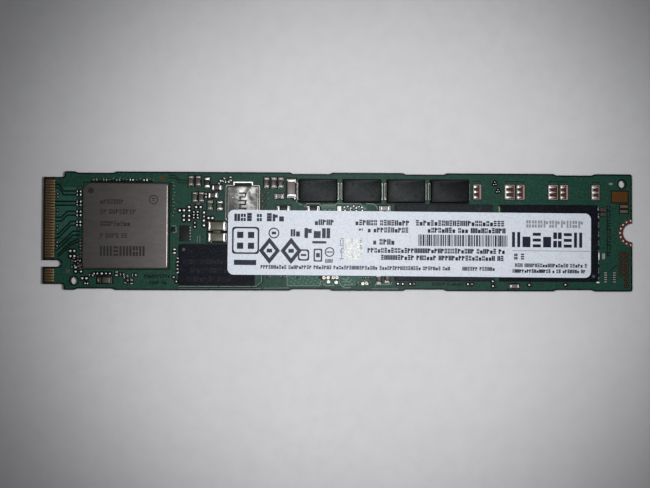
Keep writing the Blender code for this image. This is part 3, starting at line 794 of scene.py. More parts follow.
def above_controller():
    # Dark band under the row of small parts above the lid: painted shade.
    SHADE_MOATS.slab((11.6, 0.34), GAP, (-40.5, 9.2), 0.1)
    for x in (-45.3, -43.5, -41.1, -38.6, -36.0):
        resistor((x, 9.45), 0.6, 0.32, 0.25, 0, 0.14, x > -40)
    for step in range(19):
        x, y = -46.0 + 0.62 * step, 9.35 + 0.3 * jumping(step)
        crumb((0.26, 0.34), 0.2, (x, y), 40 * (step % 3))
        PRINT.slab((0.2, 0.14), RING, (x + 0.28, y + 0.12), 0.04)
    for x in (-44.6, -42.3, -39.8, -37.3, -34.6, -33.9):
        via(x, 9.5, 0.16)
    BARE.slab((0.75, 0.6), COPPER, (-33.0, 9.85), 0.04)
    for step in range(11):
        x = Box("controller_lid").high.x + 0.62 + 0.4 * jumping(step)
        y = 8.9 - 0.62 * step
        GAPS.spot(0.2, GAP, (x, y), 10)
        PRINT.ring(0.14, 0.07, PRINTED, (x + 0.05, y + 0.12), 8)
    for y in (10.35, 9.85):
        path = [(-31.8, y), (-30.6, y), (-29.7, y - 0.9), (-28.3, y - 0.9)]
        GAPS.ribbon(path, 0.2, GAP)
    GAPS.ribbon([(-31.2, 9.3), (-31.2, 3.6), (-30.6, 3.0)], 0.12, GAP)


def controller_marks():
    """Round corner mark, round badge and rows of plain bars, lasered into the lid."""
    marks = Piece("controller_marks", LASER_MARK, "nickel_lid")
    lid = Box("controller_lid")
    span = film(lid.top, 0.004)
    marks.spot(0.55, span, (lid.low.x + 1.45, lid.high.y - 1.4), 20)
    x, y = lid.high.x - 2.6, lid.high.y - 3.0
    marks.ring(0.85, 0.68, span, (x, y), 24)
    marks.slab((0.7, 0.2), span, (x, y + 0.2))
    marks.slab((0.45, 0.16), span, (x, y - 0.15))
    x, top = lid.low.x + 3.15, lid.high.y
    for drop, end in ((3.4, 5.0), (5.25, 6.6), (7.45, 6.0), (9.65, 5.4)):
        mark_row(marks, (x, x + end), (top - drop - 0.45, top - drop + 0.45), span, 0.2)
    mark_row(marks, (x, x + 9.3), (top - 13.4, top - 11.6), span, 0.22, UP, 0.6)


# ---- power section


def cad_ceramics():
    """The larger capacitors of the CAD: finish, end cap length and whether the caps are bright,
    with a painted glint on their end caps, or dull with painted shade on their solder slopes.
    """
    for kind, cap, bright, nodes in (
        ("olive", 0.42, True, ("bulk_capacitor_1", "bulk_capacitor_2")),
        ("moss", 0.3, False, ("input_capacitor_1",)),
        ("brown", 0.3, False, ("input_capacitor_2",)),
        ("black", 0.42, True, ("input_capacitor_3",)),
        ("moss", 0.28, False, ("stage_capacitor_1",)),
        ("brown", 0.28, False, ("stage_capacitor_2",)),
        ("brown", 0.3, False, ("output_capacitor_1", "output_capacitor_2", "output_capacitor_3")),
        ("pinkish", 0.42, True, ("output_capacitor_4",)),
        ("black", 0.36, True, ("filter_capacitor_1", "filter_capacitor_2")),
    ):
        for node in nodes:
            box = Box(node)
            width, length = sorted(box.size.xy)
            turn = 90 if box.size.y > box.size.x else 0
            ceramic_part(kind, box.middle.xy, length, width, box.top, turn, UP, cap, bright)
            BODIES[kind].stands_for.append(node)


def power_section():
    bulk = (Box("bulk_capacitor_1").middle + Box("bulk_capacitor_2").middle) / 2
    # A dark block in the gap between the two bulk capacitors: painted shade between them.
    BODIES["moss"].tablet((1.4, 0.5), (0.02, 0.8), 0.1, 0.1, bulk.xy)
    for kind, x, y, length, width, turn in (
        ("brown", -22.8, 8.1, 1.6, 0.8, 0), ("brown", -23.5, 6.65, 1.55, 0.85, 0),
        ("moss", -24.05, 4.8, 1.45, 0.85, 90), ("moss", -22.25, 4.75, 1.45, 0.85, 90),
    ):
        ceramic_part(kind, (x, y), length, width, 0.8, turn, bright=x > -23.6)
    for x, y, turn in (
        (-24.85, 6.65, 90), (-22.3, 9.17, 60), (-20.9, 9.2, 0), (-20.3, 9.75, 90), (-21.6, 9.6, 60),
    ):
        resistor((x, y), 0.6, 0.34, 0.28, turn, 0.1)
    BODIES["brown"].tablet((0.75, 0.6), (0.03, 0.5), 0.05, 0.06, (-26.25, 5.15))
    for x, y, tall in (
        (-27.97, 4.1, 0.34), (-27.97, 3.28, 0.3), (-27.97, 2.44, 0.34), (-25.18, 3.1, 0.3),
        (-25.18, 2.35, 0.34), (-25.18, 1.5, 0.4), (-26.65, 4.0, 0.5), (-25.85, 4.0, 0.5),
        (-28.92, 3.3, 0.5), (-28.92, 2.43, 0.3), (-26.75, 3.28, 0.2), (-26.4, 2.75, 0.16),
    ):
        crumb((0.4, tall), 0.24, (x, y))
    crumb((0.34, 0.4), 0.24, (-23.97, 2.43))
    for x, y in ((-30.65, -3.75), (-29.95, -5.4), (-29.95, -7.4)):
        resistor((x, y), 0.75, 0.4, 0.28, 90)
    for x, y in ((-30.0, -6.4), (-30.7, -8.6), (-30.2, -9.4)):
        solder_dot(x, y, 0.3)
    for y, big, places in (
        (4.48, True, (-27.97, -26.65, -25.81)), (3.83, True, (-29.69, -28.92, -27.93)),
        (3.55, False, (-27.08, -26.37)), (3.46, True, (-25.18,)), (3.01, False, (-27.08, -26.37)),
        (2.82, True, (-28.92, -27.95)), (2.73, False, (-25.18,)), (2.5, False, (-27.08, -26.33)),
        (2.43, True, (-24.34, -23.61)), (2.05, True, (-28.92, -27.95)), (1.96, True, (-25.2,)),
        (1.54, False, (-26.86,)), (1.05, True, (-25.18,)), (0.79, False, (-26.86,)),
    ):
        for x in places:
            solder_dot(x, y, *((0.46, 0.08) if big else (0.3, 0.05)))
    for x in (-26.4, -25.9):
        PRINT.ribbon([(x, -0.9), (x, -2.1)], 0.09, PRINTED)


def power_chip():
    box = Box("power_management_chip")
    middle, top = box.middle, box.top
    case = Piece("power_chip_body", CHIP_BLACK, "package_mould")
    case.tablet(box.size.xy, (0.05, top), 0.05, 0.04, middle.xy)
    case.stands_for.append("power_management_chip")
    for row in range(4):
        for column in range(3):
            place = (middle.x + (column - 1) * 0.55, middle.y + (row - 1.5) * 0.66)
            FAINT.slab((0.22, 0.16), film(top), place)
    for x in (box.low.x - 0.08, box.high.x + 0.08):
        for step in range(5):
            SLIVERS.slab((0.2, 0.2), COPPER, (x, middle.y - 1.1 + step * 0.55), 0.04)
    CHIPS.tablet((0.7, 0.85), (0.03, 0.5), 0.1, 0.06, (-30.8, 0.25))
    PRINT.ribbon([(-30.35, 0.75), (-30.3, -0.2), (-30.9, -0.3)], 0.13, PRINTED)
    PRINT.ribbon([(-31.1, 0.95), (-30.35, 0.95)], 0.12, PRINTED)


def inductor():
    core = Box("inductor_core")
    middle, top, (wide, deep) = core.middle, core.top, core.size.xy
    block = Piece("inductor_block", INDUCTOR, "ferrite")
    block.solid([
        (rounded(wide - inset, deep - inset, corner), height) for inset, corner, height in (
            (0.0, 0.25, 0.15), (0.0, 0.25, top - 0.12), (0.1, 0.22, top - 0.03),
            (0.24, 0.2, top), (0.5, 0.2, top), (0.7, 0.2, top - 0.05),
        )
    ], middle.xy)
    block.stands_for.append("inductor_core")
    marks = Piece("inductor_marks", LASER_MARK, "package_mould")
    span = (top - 0.054, top - 0.045)
    for step, width in enumerate((1.5, 1.2, 1.6, 1.3, 1.5)):
        y, way = 7.0 - 0.7 * step, (-1) ** step
        marks.slab((width, 0.27), span, (middle.x, y))
        marks.slab((0.27, 0.5), span, (middle.x + 0.5 * way, y - 0.28))
    # Dark moat round the inductor: painted shade.
    SHADE_MOATS.slab((wide + 0.8, deep + 0.9), MARK, middle.xy, 0.4)
    SLIVERS.frame((wide + 0.46, deep + 0.62), 0.13, COPPER, (middle.x - 0.08, middle.y), 0.3)
    for node, end in (("inductor_terminal_upper", 1), ("inductor_terminal_lower", -1)):
        clip = Box(node)
        edge, half = (clip.high if end > 0 else clip.low).y, clip.size.x / 2 + 0.02
        PADS.slab((2 * half + 0.1, 0.9), COPPER, (middle.x, edge + end * 0.35), 0.08)
        # A black block inside the solder outline: painted shade between the clip's edges.
        crumb((2 * half - 0.3, 0.42), 0.3, (middle.x, edge + end * 0.34), 0, 0.06, CHIPS)
        path = [(-half, 0.15), (-half, 0.66), (half, 0.66), (half, 0.15)]
        JOINTS.ribbon([(middle.x + x, edge + end * y) for x, y in path], 0.13, 0.34)


# ---- packages


def package_details():
    """Solder balls under each package, and the marks on its face."""
    marks = Piece("package_marks", PACKAGE_MARK, "package_mould")
    names = [("controller_substrate", UP, 0.8)]
    for face, side in (("upper", UP), ("lower", DOWN)):
        names += [(f"flash_{face}_{number}_substrate", side, 1.0) for number in (1, 2)]
        names += [(f"dram_{face}_substrate", side, 0.8)]
    for node, side, pitch in names:
        box = Box(node)
        gap = abs((box.low.z if side == UP else box.high.z) - FACE[side])
        middle = box.middle
        # Dark moat round each package: painted shade.
        SHADE_MOATS.slab((box.size.x + 0.4, box.size.y + 0.4), CLEAR, middle.xy, 0.1, 0, side)
        far_x, far_y = (int((length - 1.0) / pitch / 2) for length in box.size.xy)
        for i in range(-far_x, far_x + 1):
            for j in range(-far_y, far_y + 1):
                if max(abs(i) - far_x, abs(j) - far_y) >= -1:
                    BALLS.ball(0.2, gap, (middle.x + i * pitch, middle.y + j * pitch), side)
    for name, side, way in (
        ("dram_upper", UP, -1), ("dram_lower", DOWN, -1), ("flash_upper_1", UP, 1),
        ("flash_upper_2", UP, 1), ("flash_lower_1", DOWN, 1), ("flash_lower_2", DOWN, 1),
    ):
        box = Box(name + "_mould_cap")
        span = film(max(abs(box.low.z - FACE[side]), abs(box.high.z - FACE[side])))
        middle, half = box.middle, box.size / 2
        corner = (middle.x + way * (half.x - 0.85), middle.y - way * (half.y - 0.85))
        marks.spot(0.29, span, corner, 20, side)
        if side == DOWN or name.startswith("dram"):
            for row, share in enumerate((0.9, 0.7, 0.8)):
                y, width = middle.y + half.y * 0.3 - row * 1.6, half.x * share
                if y - 0.9 > box.low.y + 0.3:
                    ends = (middle.x - width, middle.x + width * 0.6)
                    mark_row(FAINT, ends, (y - 0.9, y), span, 0.12, side)


def package_outlines():
    """Printed outlines beside the DRAM, with a cut corner."""
    box = Box("dram_upper_substrate")
    left, inner = box.low.x - 0.2, box.high.x + 0.3
    for side in (UP, DOWN):
        for piece, out, line in ((PRINT, 0.0, 0.13), (GAPS, 0.22, 0.26)):
            right, top, bottom = box.high.x + 1.4, box.high.y + 0.15 + out, box.low.y - 0.15
            path = [(inner, top), (right + out, top), (right + out, bottom + 0.85),
                    (right - 0.95, bottom - out), (left, bottom - out)]
            piece.ribbon(path, line, PRINTED, side)


# ---- hold-up capacitors


def holdup_capacitors():
    for number in range(1, 5):
        node = f"holdup_capacitor_{number}_body"
        box = Box(node)
        x, y, top, base = *box.middle.xy, box.top, box.low.z - FACE[UP]
        wide, deep = box.size.xy
        # The fourth body takes the darker copy: painted shade.
        finish = HOLDUP if number < 4 else SHADED_HOLDUP
        body = Piece(f"holdup_body_{number}", finish, "capacitor_mould")
        body.solid([
            (rounded(wide - in_x, deep - in_y, corner), height)
            for in_x, in_y, corner, height in (
                (0.1, 0.1, 0.12, base), (0.0, 0.0, 0.15, base + (top - base) * 0.42),
                (0.1, 0.1, 0.15, top - 0.16), (0.18, 0.18, 0.15, top - 0.1),
                (0.44, 0.4, 0.15, top),
            )
        ], (x, y))
        # Dark moat round the body: painted shade.
        SHADE_MOATS.slab((wide + 0.2, deep + 0.3), CLEAR, (x, y), 0.1)
        body.stands_for.append(node)
        for dx, dy, radius in ((-1.68, 1.24, 0.28), (1.76, -0.99, 0.34)):
            body.pits.append((x + dx, y + dy, radius, box.high.z))
            # Painted shade: a dark disc on the floor of each pit.
            DARK_PRINT_AND_PIT_SHADE.spot(radius * 0.85, (top - 0.07, top - 0.03), (x + dx, y + dy), 16)
        for end in (1, -1):
            length = 3.1 - 0.5 * RNG.random()
            rings = [
                (moved(rounded(across, length - less, corner), -end * shift), height)
                for across, less, corner, shift, height in (
                    (0.2, 0.0, 0.08, 0.0, 0.0), (0.15, 0.04, 0.06, 0.03, 0.1),
                    (0.08, 0.1, 0.03, 0.06, 0.34),
                )
            ]
            place = (x + end * (wide / 2 + 0.17), y + 0.2 * (RNG.random() - 0.5))
            # The left terminal gets the dark painted shade finish, the right one dull tin.
            (SLIVERS if end > 0 else SHADED_TERMINALS).solid(rings, place)
            SLIVERS.slab((1.2, 3.1), COPPER, (x + end * (wide / 2 - 0.28), y), 0.08)


def solder_tooth(x, y, reach, half):
    """A wedge of solder: broad at its left end, drawn out to a point towards the right."""
    rings = []
    for rise, share in ((0.0, 1.0), (0.08, 0.9), (0.14, 0.6), (0.17, 0.25)):
        tip = reach * (0.3 + 0.7 * share)
        outline = [(0.05 * share, -half * share), (tip, -0.02 * share), (tip, 0.02 * share),
                   (0.05 * share, half * share), (-0.12 * share, half * 0.5 * share),
                   (-0.12 * share, -half * 0.5 * share)]
        rings.append((outline, 0.03 + rise))
    JOINTS.solid(rings, (x, y))


def empty_footprints():
    """Three places left empty: stained pads with teeth of solder drawn out across them."""
    first, last = Box("holdup_capacitor_1_body").middle, Box("holdup_capacitor_4_body").middle
    pitch = Box("holdup_capacitor_2_body").middle.x - first.x
    y = last.y
    for step in (1, 2, 3):
        x = last.x + pitch * step + 0.12
        right_pad = (3.1, 1.85, 0.82) if step < 3 else (2.93, 1.5, 0.82)
        for shift, width, drawn in (right_pad, (-3.0, 1.5, 0.52)):
            pad_x = x + shift
            GAPS.slab((width + 0.3, 3.0), GAP, (pad_x, y), 0.08)
            OPEN_PADS.slab((width, 2.75), RING, (pad_x, y), 0.06)
            PAD_RIMS.frame((width, 2.75), 0.13, 0.045, (pad_x, y), 0.05)
            if shift < 0:
                PAD_RIMS.slab((0.22, 2.5), 0.05, (pad_x + width / 2 - 0.22, y), 0.05)
            else:
                JOINTS.slab((0.14, 2.2), 0.06, (pad_x - width / 2 + 0.2, y), 0.05)
            for row in (-0.98, 0.0, 0.98):
                reach = width * drawn * (0.85 + 0.15 * RNG.random())
                solder_tooth(pad_x - width / 2 + 0.22, y + row, reach, 0.36)
        left, right = x + 2.4, x + (5.75 if step < 3 else 3.6)
        path = [(left, y + 1.7), (left, y + 1.98), (right, y + 1.98), (right, y + 1.7)]
        GAPS.ribbon(path, 0.14, GAP)
    right = last.x + pitch - 2.3
    GAPS.ribbon([(right - 1.3, y + 1.98), (right, y + 1.98), (right, y + 1.7)], 0.14, GAP)


# ---- rest of the upper face


def output_section():
    for step in range(6):
        y, way = 6.95 - step * 0.52, (-1) ** step
        crumb((0.62, 0.34), 0.26, (-13.75 + 0.2 * way, y), 35 * way, 0.05)
        SLIVERS.dome((0.16, 0.26), 0.16, 0.05, (-13.75 + 0.5 * way, y + 0.2), 35 * way)
    ceramic_part("grey", (-11.2, 6.55), 1.4, 0.8, 0.7, cap=0.3)
    for x in (-11.45, -11.2, -10.95):
        BODIES["brown"].slab((0.1, 0.7), (0.6, 0.706), (x, 6.55))
    solder_dot(-8.3, 6.15, 0.34)
    ceramic_part("grey", (8.5, 4.35), 1.75, 0.85, 0.75, cap=0.42)
    for piece, size, height, place in (
        (POURS, (2.7, 1.5), PRINTED, (-1.95, 4.5)), (POURS, (4.8, 1.15), PRINTED, (2.8, 4.35)),
        (GAPS, (2.4, 0.42), OVER_POUR, (-1.85, 3.85)), (GAPS, (4.4, 0.36), OVER_POUR, (2.6, 3.85)),
    ):
        piece.slab(size, height, place, 0.1)
    for x in (-2.65, -1.8, -0.95):
        PRINT.ring(0.26, 0.13, COPPER, (x, 3.95), 14)
    for index in range(14):
        place = (-3.2 + 0.19 * index, 4.4 + 0.55 * jumping(index))
        PRINT.ring(0.12, 0.05, COPPER, place, 8)
    BARE_TIN.slab((0.7, 0.85), RING, (0.0, 4.3), 0.08)
    SLIVERS.slab((0.5, 0.24), 0.04, (-0.05, 4.62), 0.05)
    for index in range(9):
        place = (0.9 + index * 0.48, 4.25 + 0.34 * (index % 2))
        PRINT.ring(0.24, 0.12, COPPER, place, 12)
        VIA_HOLES.spot(0.12, OVER_POUR, place, 10)
    for place in (
        (1.1, 3.98), (2.1, 4.02), (3.2, 3.95), (4.3, 4.0), (-6.0, 3.9), (1.6, 4.75), (2.7, 4.8),
        (3.7, 4.7), (0.95, 4.6), (2.15, 4.4), (3.2, 4.45), (4.2, 4.55),
    ):
        # Dark moat round each dot: painted shade.
        SHADE_MOATS.spot(0.3, 0.016, place)
        DOTS.dome((0.3, 0.22), (0.01, 0.06), 0.08, place, 20)
    for path in (
        [(-6.55, 4.55), (-6.0, 5.2), (-3.75, 5.2), (-3.25, 4.55)],
        [(0.35, 5.2), (3.95, 5.2), (4.9, 4.1)],
        [(5.0, 5.25), (6.4, 5.2), (6.95, 4.8), (7.15, 4.2)],
        [(-0.7, 5.05), (-0.3, 5.35), (0.35, 5.2)],
        [(-7.6, 5.2), (-6.9, 4.9)], [(-3.1, 4.95), (-0.6, 4.95)],
    ):
        PRINT.ribbon(path, 0.16, LINE)
    for index in range(5):
        PRINT.slab((0.1, 0.6), OVER_POUR, (-7.95, 5.6 + index * 0.9))


def lower_strip():
    """The strip of card below the label."""
    POURS.slab((6.1, 1.8), PRINTED, (-6.5, -9.15), 0.1)
    PRINT.ribbon([(-9.65, -8.2), (-9.65, -10.1), (-3.45, -10.1)], 0.12, LINE)
    POURS.slab((8.9, 1.7), PRINTED, (1.3, -9.2), 0.3)
    for x, y, size, turn in (
        (-13.2, -8.4, (0.75, 0.5), 0), (-10.3, -8.4, (0.8, 0.45), 0), (-7.6, -8.45, (0.7, 0.4), 25),
        (3.3, -9.75, (0.3, 0.6), 0), (4.55, -8.6, (0.6, 0.4), 0), (5.75, -8.55, (0.3, 0.5), 10),
        (3.9, -9.5, (0.4, 0.3), 40), (5.6, -9.5, (0.25, 0.7), 20),
    ):
        crumb(size, 0.28, (x, y), turn, 0.05)
        for end in (1, -1):
            place = (x + end * (size[0] / 2 + 0.1), y + 0.05)
            SLIVERS.dome((0.2, 0.24), 0.12, 0.06, place, turn)
    GAPS.slab((3.8, 0.85), OVER_POUR, (-1.9, -8.6), 0.15)
    for x, y, bright in (
        (-2.8, -8.58, False), (-2.03, -8.58, True), (-1.06, -8.53, False), (-0.4, -8.55, False),
        (-1.98, -9.36, True), (-0.53, -9.46, True), (4.45, -9.65, True), (5.15, -9.6, False),
    ):
        GAPS.spot(0.42, 0.013, (x, y), 14)
        SLIVERS.ring(0.3, 0.13, RING, (x, y))
        if bright:
            DOTS.dome((0.28, 0.24), (0.01, 0.09), 0.12, (x, y))
    for path in (
        [(0.5, -8.7), (1.2, -9.0), (1.9, -8.6)], [(0.75, -9.3), (1.8, -9.35), (2.3, -9.15)],
        [(-0.1, -9.2), (0.3, -9.9), (0.75, -10.3), (1.05, -9.95), (2.2, -9.9), (2.5, -9.6)],
        [(0.75, -10.35), (1.3, -10.45), (2.2, -10.4)],
        [(-3.3, -9.1), (-3.6, -9.9)], [(-3.0, -9.75), (-2.4, -10.1), (-0.9, -10.0)],
        [(4.6, -9.2), (5.0, -9.2), (5.5, -9.8)],
        [(6.7, -10.1), (6.9, -9.8), (9.6, -9.8), (9.9, -9.3)],
    ):
        PRINT.ribbon(path, 0.16, LINE)
    for index in range(44):
        place = (-9.2 + index * 0.28, -8.35 - 1.6 * jumping(index))
        PRINT.ring(0.12, 0.05, COPPER, place, 8)
    for x in (-12.9, -12.1, -11.4, -8.8, -8.0, -6.5, -5.6, -4.7):
        via(x, -8.85 - 0.5 * RNG.random(), 0.13)
    ceramic_part("brown", (7.45, -8.85), 1.5, 0.7, 0.75, 90, cap=0.3)
    ceramic_part("brown", (9.0, -8.65), 1.5, 0.75, 0.75, 90, cap=0.3)
    ceramic_part("pinkish", (32.7, -10.05), 1.6, 0.7, 0.75, cap=0.26)
    for start, end in (
        ((-29.8, -10.62), (-14.5, -10.62)), ((-14.0, -10.58), (-9.4, -10.5)),
        ((6.0, -10.62), (11.0, -10.62)),
    ):
        PRINT.ribbon([start, end], 0.09, PRINTED)
    for x, y in (
        (11.0, -9.65), (11.9, -9.7), (13.3, -9.7), (13.95, -9.7), (24.1, -9.7), (24.8, -9.7),
        (28.75, -9.15), (28.8, -10.05), (35.6, -9.8), (42.4, -9.75),
    ):
        solder_dot(x, y, 0.36)
        crumb((0.5, 0.3), 0.2, (x + 0.45, y - 0.12), 50)
        crumb((0.4, 0.26), 0.2, (x - 0.1, y + 0.42), 10)
    mark_row(DARK_PRINT_AND_PIT_SHADE, (17.4, 23.4), (-10.0, -9.4), MARK)
    for x in (16.0, 17.0, 18.0, 19.0, 20.0, 21.0, 22.0, 26.4, 30.2, 38.5, 40.2, 44.9):
        via(x, -9.75 + 0.3 * RNG.random(), 0.13)
    for x in (-16.2, -19.6, -22.4, -26.4):
        PRINT.plate([(-0.25, -0.12), (0.25, -0.12), (0.0, 0.16)], PRINTED, (x, -10.3))


def right_end():
    column = Box("flash_upper_2_substrate").high.x + 0.5
    for step in range(24):
        y, kind = 4.6 - step * 0.57, step % 3
        if -5.2 < y < -3.6:
            continue
        if kind == 0:
            SLIVERS.dome((0.24, 0.42), 0.14, 0.08, (column, y), 0, UP, 0.3)
        elif kind == 1:
            crumb((0.3, 0.36), 0.24, (column + 0.1, y), piece=CHIPS)
        else:
            PRINT.slab((0.14, 0.34), OVER_POUR, (column + 0.05, y))
    for size, height, corner, dx, y in (
        ((0.32, 0.36), 0.14, 0.1, -0.02, 4.35), ((0.32, 0.46), 0.14, 0.1, -0.02, 2.95),
        ((0.2, 1.5), 0.14, 0.08, 0.1, -4.4), ((0.6, 0.26), 0.1, 0.1, -0.05, -9.3),
    ):
        DOTS.dome(size, height, corner, (column + dx, y))
    for y in (4.3, 3.45):
        # Dark moat round each part: painted shade.
        SHADE_MOATS.slab((1.2, 0.9), CLEAR, (49.4, y))
        crumb((0.95, 0.66), 0.45, (49.4, y), 0, 0.06, BODIES["brown"])
    BODIES["grey"].tablet((0.5, 1.1), (0.02, 0.4), 0.08, 0.08, (49.5, -4.4))
    for step in range(19):
        y, kind = 4.9 - 0.5 * step, RNG.randrange(3)
        DARK_PRINT_AND_PIT_SHADE.slab((0.2, 0.38), MARK, (50.3, y))
        if kind:
            DARK_PRINT_AND_PIT_SHADE.slab((0.7, 0.19), MARK, (50.6, y - 0.1 * kind))
        else:
            DARK_PRINT_AND_PIT_SHADE.slab((0.2, 0.38), MARK, (50.85, y))
    for x in (49.95, 51.6):
        for step in range(5):
            place = (x, -7.5 - 0.42 * step)
            # Dark moat round each pad: painted shade.
            SHADE_MOATS.slab((0.66, 0.3), GAP, place)
            JOINTS.slab((0.5, 0.14), RING, place, 0.03)
    GAPS.ribbon([(50.6, -7.4), (52.0, -6.0)], 0.14, GAP)
    for piece, size, place in (
        (BARE, (3.0, 2.05), (52.68, 6.76)), (DULL_PADS, (1.5, 0.5), (53.5, 4.97)),
        (DULL_PADS, (1.45, 0.5), (53.45, 4.02)),
    ):
        # Dark moat round each pad: painted shade.
        SHADE_MOATS.slab((size[0] + 0.36, size[1] + 0.36), GAP, place, 0.08)
        piece.slab(size, COPPER, place, 0.05)
    for x, count in ((53.9, 7), (52.88, 5)):
        for step in range(count):
            place = (x, -4.0 - 0.978 * step)
            # Dark moat round each ring: painted shade.
            SHADE_MOATS.spot(0.46, CLEAR, place, 14)
            OPEN_RINGS.ring(0.33, 0.19, RING, place)
            VIA_HOLES.spot(0.19, PRINTED, place)
    for x, y in (
        (29.15, 9.42), (28.95, 8.95), (29.35, 9.0), (29.75, 8.0), (29.55, 7.6), (29.95, 7.65),
    ):
        solder_dot(x, y, 0.2, 0.05)
    BARE.slab((0.25, 0.3), COPPER, (29.5, 6.75), 0.05)
    SLIVERS.slab((0.15, 1.1), RING, (29.95, 4.3), 0.04)
    PRINT.slab((0.7, 0.4), MARK, (51.0, 9.2), 0.1)
    for side in (UP, DOWN):
        for step in range(9):
            place = toward((RIGHT, 0), 97 + 166 * step / 8, 2.27)
            DOTS.dome((0.3, 0.3), (0.03, 0.09), 0.15, place, 0, side, 0.1)


def mask_margin():
    """The strip along every edge of the card where the lacquer stops short of the laminate, near
    black as painted edge shade.
    """
    board = frame["nodes"]["circuit_board"]
    margin = Piece("edge_shade_margin", SHADE_AND_PRINT_BLACK, "solder_mask")
    for side in (UP, DOWN):
        skin = bmesh.new()
        skin.from_mesh(board.data)
        bmesh.ops.transform(skin, matrix=board.matrix_world, verts=skin.verts)
        bmesh.ops.remove_doubles(skin, verts=skin.verts, dist=1e-7)
        height = FACE[side] * MM
        off = [face for face in skin.faces
               if any(abs(vert.co.z - height) > 1e-6 for vert in face.verts)]
        bmesh.ops.delete(skin, geom=off, context="FACES")
        bmesh.ops.dissolve_limit(skin, angle_limit=0.01, verts=skin.verts, edges=skin.edges)
        inner = list(skin.faces)
        bmesh.ops.inset_region(
            skin, faces=inner, thickness=0.24 * MM, use_boundary=True, use_even_offset=True)
        bmesh.ops.delete(skin, geom=inner, context="FACES")
        grown = bmesh.ops.extrude_face_region(skin, geom=list(skin.faces))
        raised = [item for item in grown["geom"] if isinstance(item, bmesh.types.BMVert)]
        bmesh.ops.translate(skin, vec=(0, 0, side * PRINTED * MM), verts=raised)
        data = baked(skin, "margin")
        margin.mesh.from_mesh(data)
        bpy.data.meshes.remove(data)


# ---- label


def label_film():
    """The film: a rounded sheet, cut into a grid so that it can dip between the packages."""
    sheet = Piece("label_sheet", label_finish(), "label_film", label_flow)
    height, step = 11.95, 0.85
    width = (LABEL.high.x - LABEL.low.x - height * abs(sin(LABEL_TILT))) / cos(LABEL_TILT)
    span = (LABEL.low.z - FACE[UP], LABEL.top)
    sheet.plate(rounded(width, height, 1.1, 6), span, LABEL.middle.xy, degrees(LABEL_TILT))
    for axis in (0, 1):
        start, end = LABEL.low[axis], LABEL.high[axis]
        for index in range(1, int((end - start) / step)):
            point, normal = Vector((0, 0, 0)), Vector((0, 0, 0))
            point[axis], normal[axis] = (start + index * step) * MM, 1.0
            everything = [*sheet.mesh.verts, *sheet.mesh.edges, *sheet.mesh.faces]
            bmesh.ops.bisect_plane(
                sheet.mesh, geom=everything, plane_co=point, plane_no=normal, dist=1e-8)
    sheet.stands_for.append("label")


class LabelPrint(Piece):
    """Draws on the label along its own tilted axes."""

    def __init__(self, name, finish):
        super().__init__(name, finish, "label_film", label_flow)

    def loops(self, rings, at, turn, side):
        middle = LABEL.middle
        dx, dy = at[0] - middle.x, at[1] - middle.y
        c, s = cos(LABEL_TILT), sin(LABEL_TILT)
        place = (middle.x + dx * c - dy * s, middle.y + dx * s + dy * c)
        return super().loops(rings, place, turn + degrees(LABEL_TILT), side)

    def bar(self, x0, x1, y0, y1):
        self.slab((x1 - x0, y1 - y0), INK_SPAN, ((x0 + x1) / 2, (y0 + y1) / 2))

    def row(self, x0, x1, y0, y1, weight=0.28, spread=0.62):
        mark_row(self, (x0, x1), (y0, y1), INK_SPAN, weight, UP, spread)

    def lozenge(self, size, line, at):
        """A diamond outline, taller than wide."""
        half_x, half_y = size[0] / 2, size[1] / 2
        in_x, in_y = half_x - line, half_y - line * half_y / half_x
        outer, inner = ([(x, 0), (0, y), (-x, 0), (0, -y)]
                        for x, y in ((half_x, half_y), (in_x, in_y)))
        for index in range(4):
            after = (index + 1) % 4
            self.plate([outer[index], outer[after], inner[after], inner[index]], INK_SPAN, at)


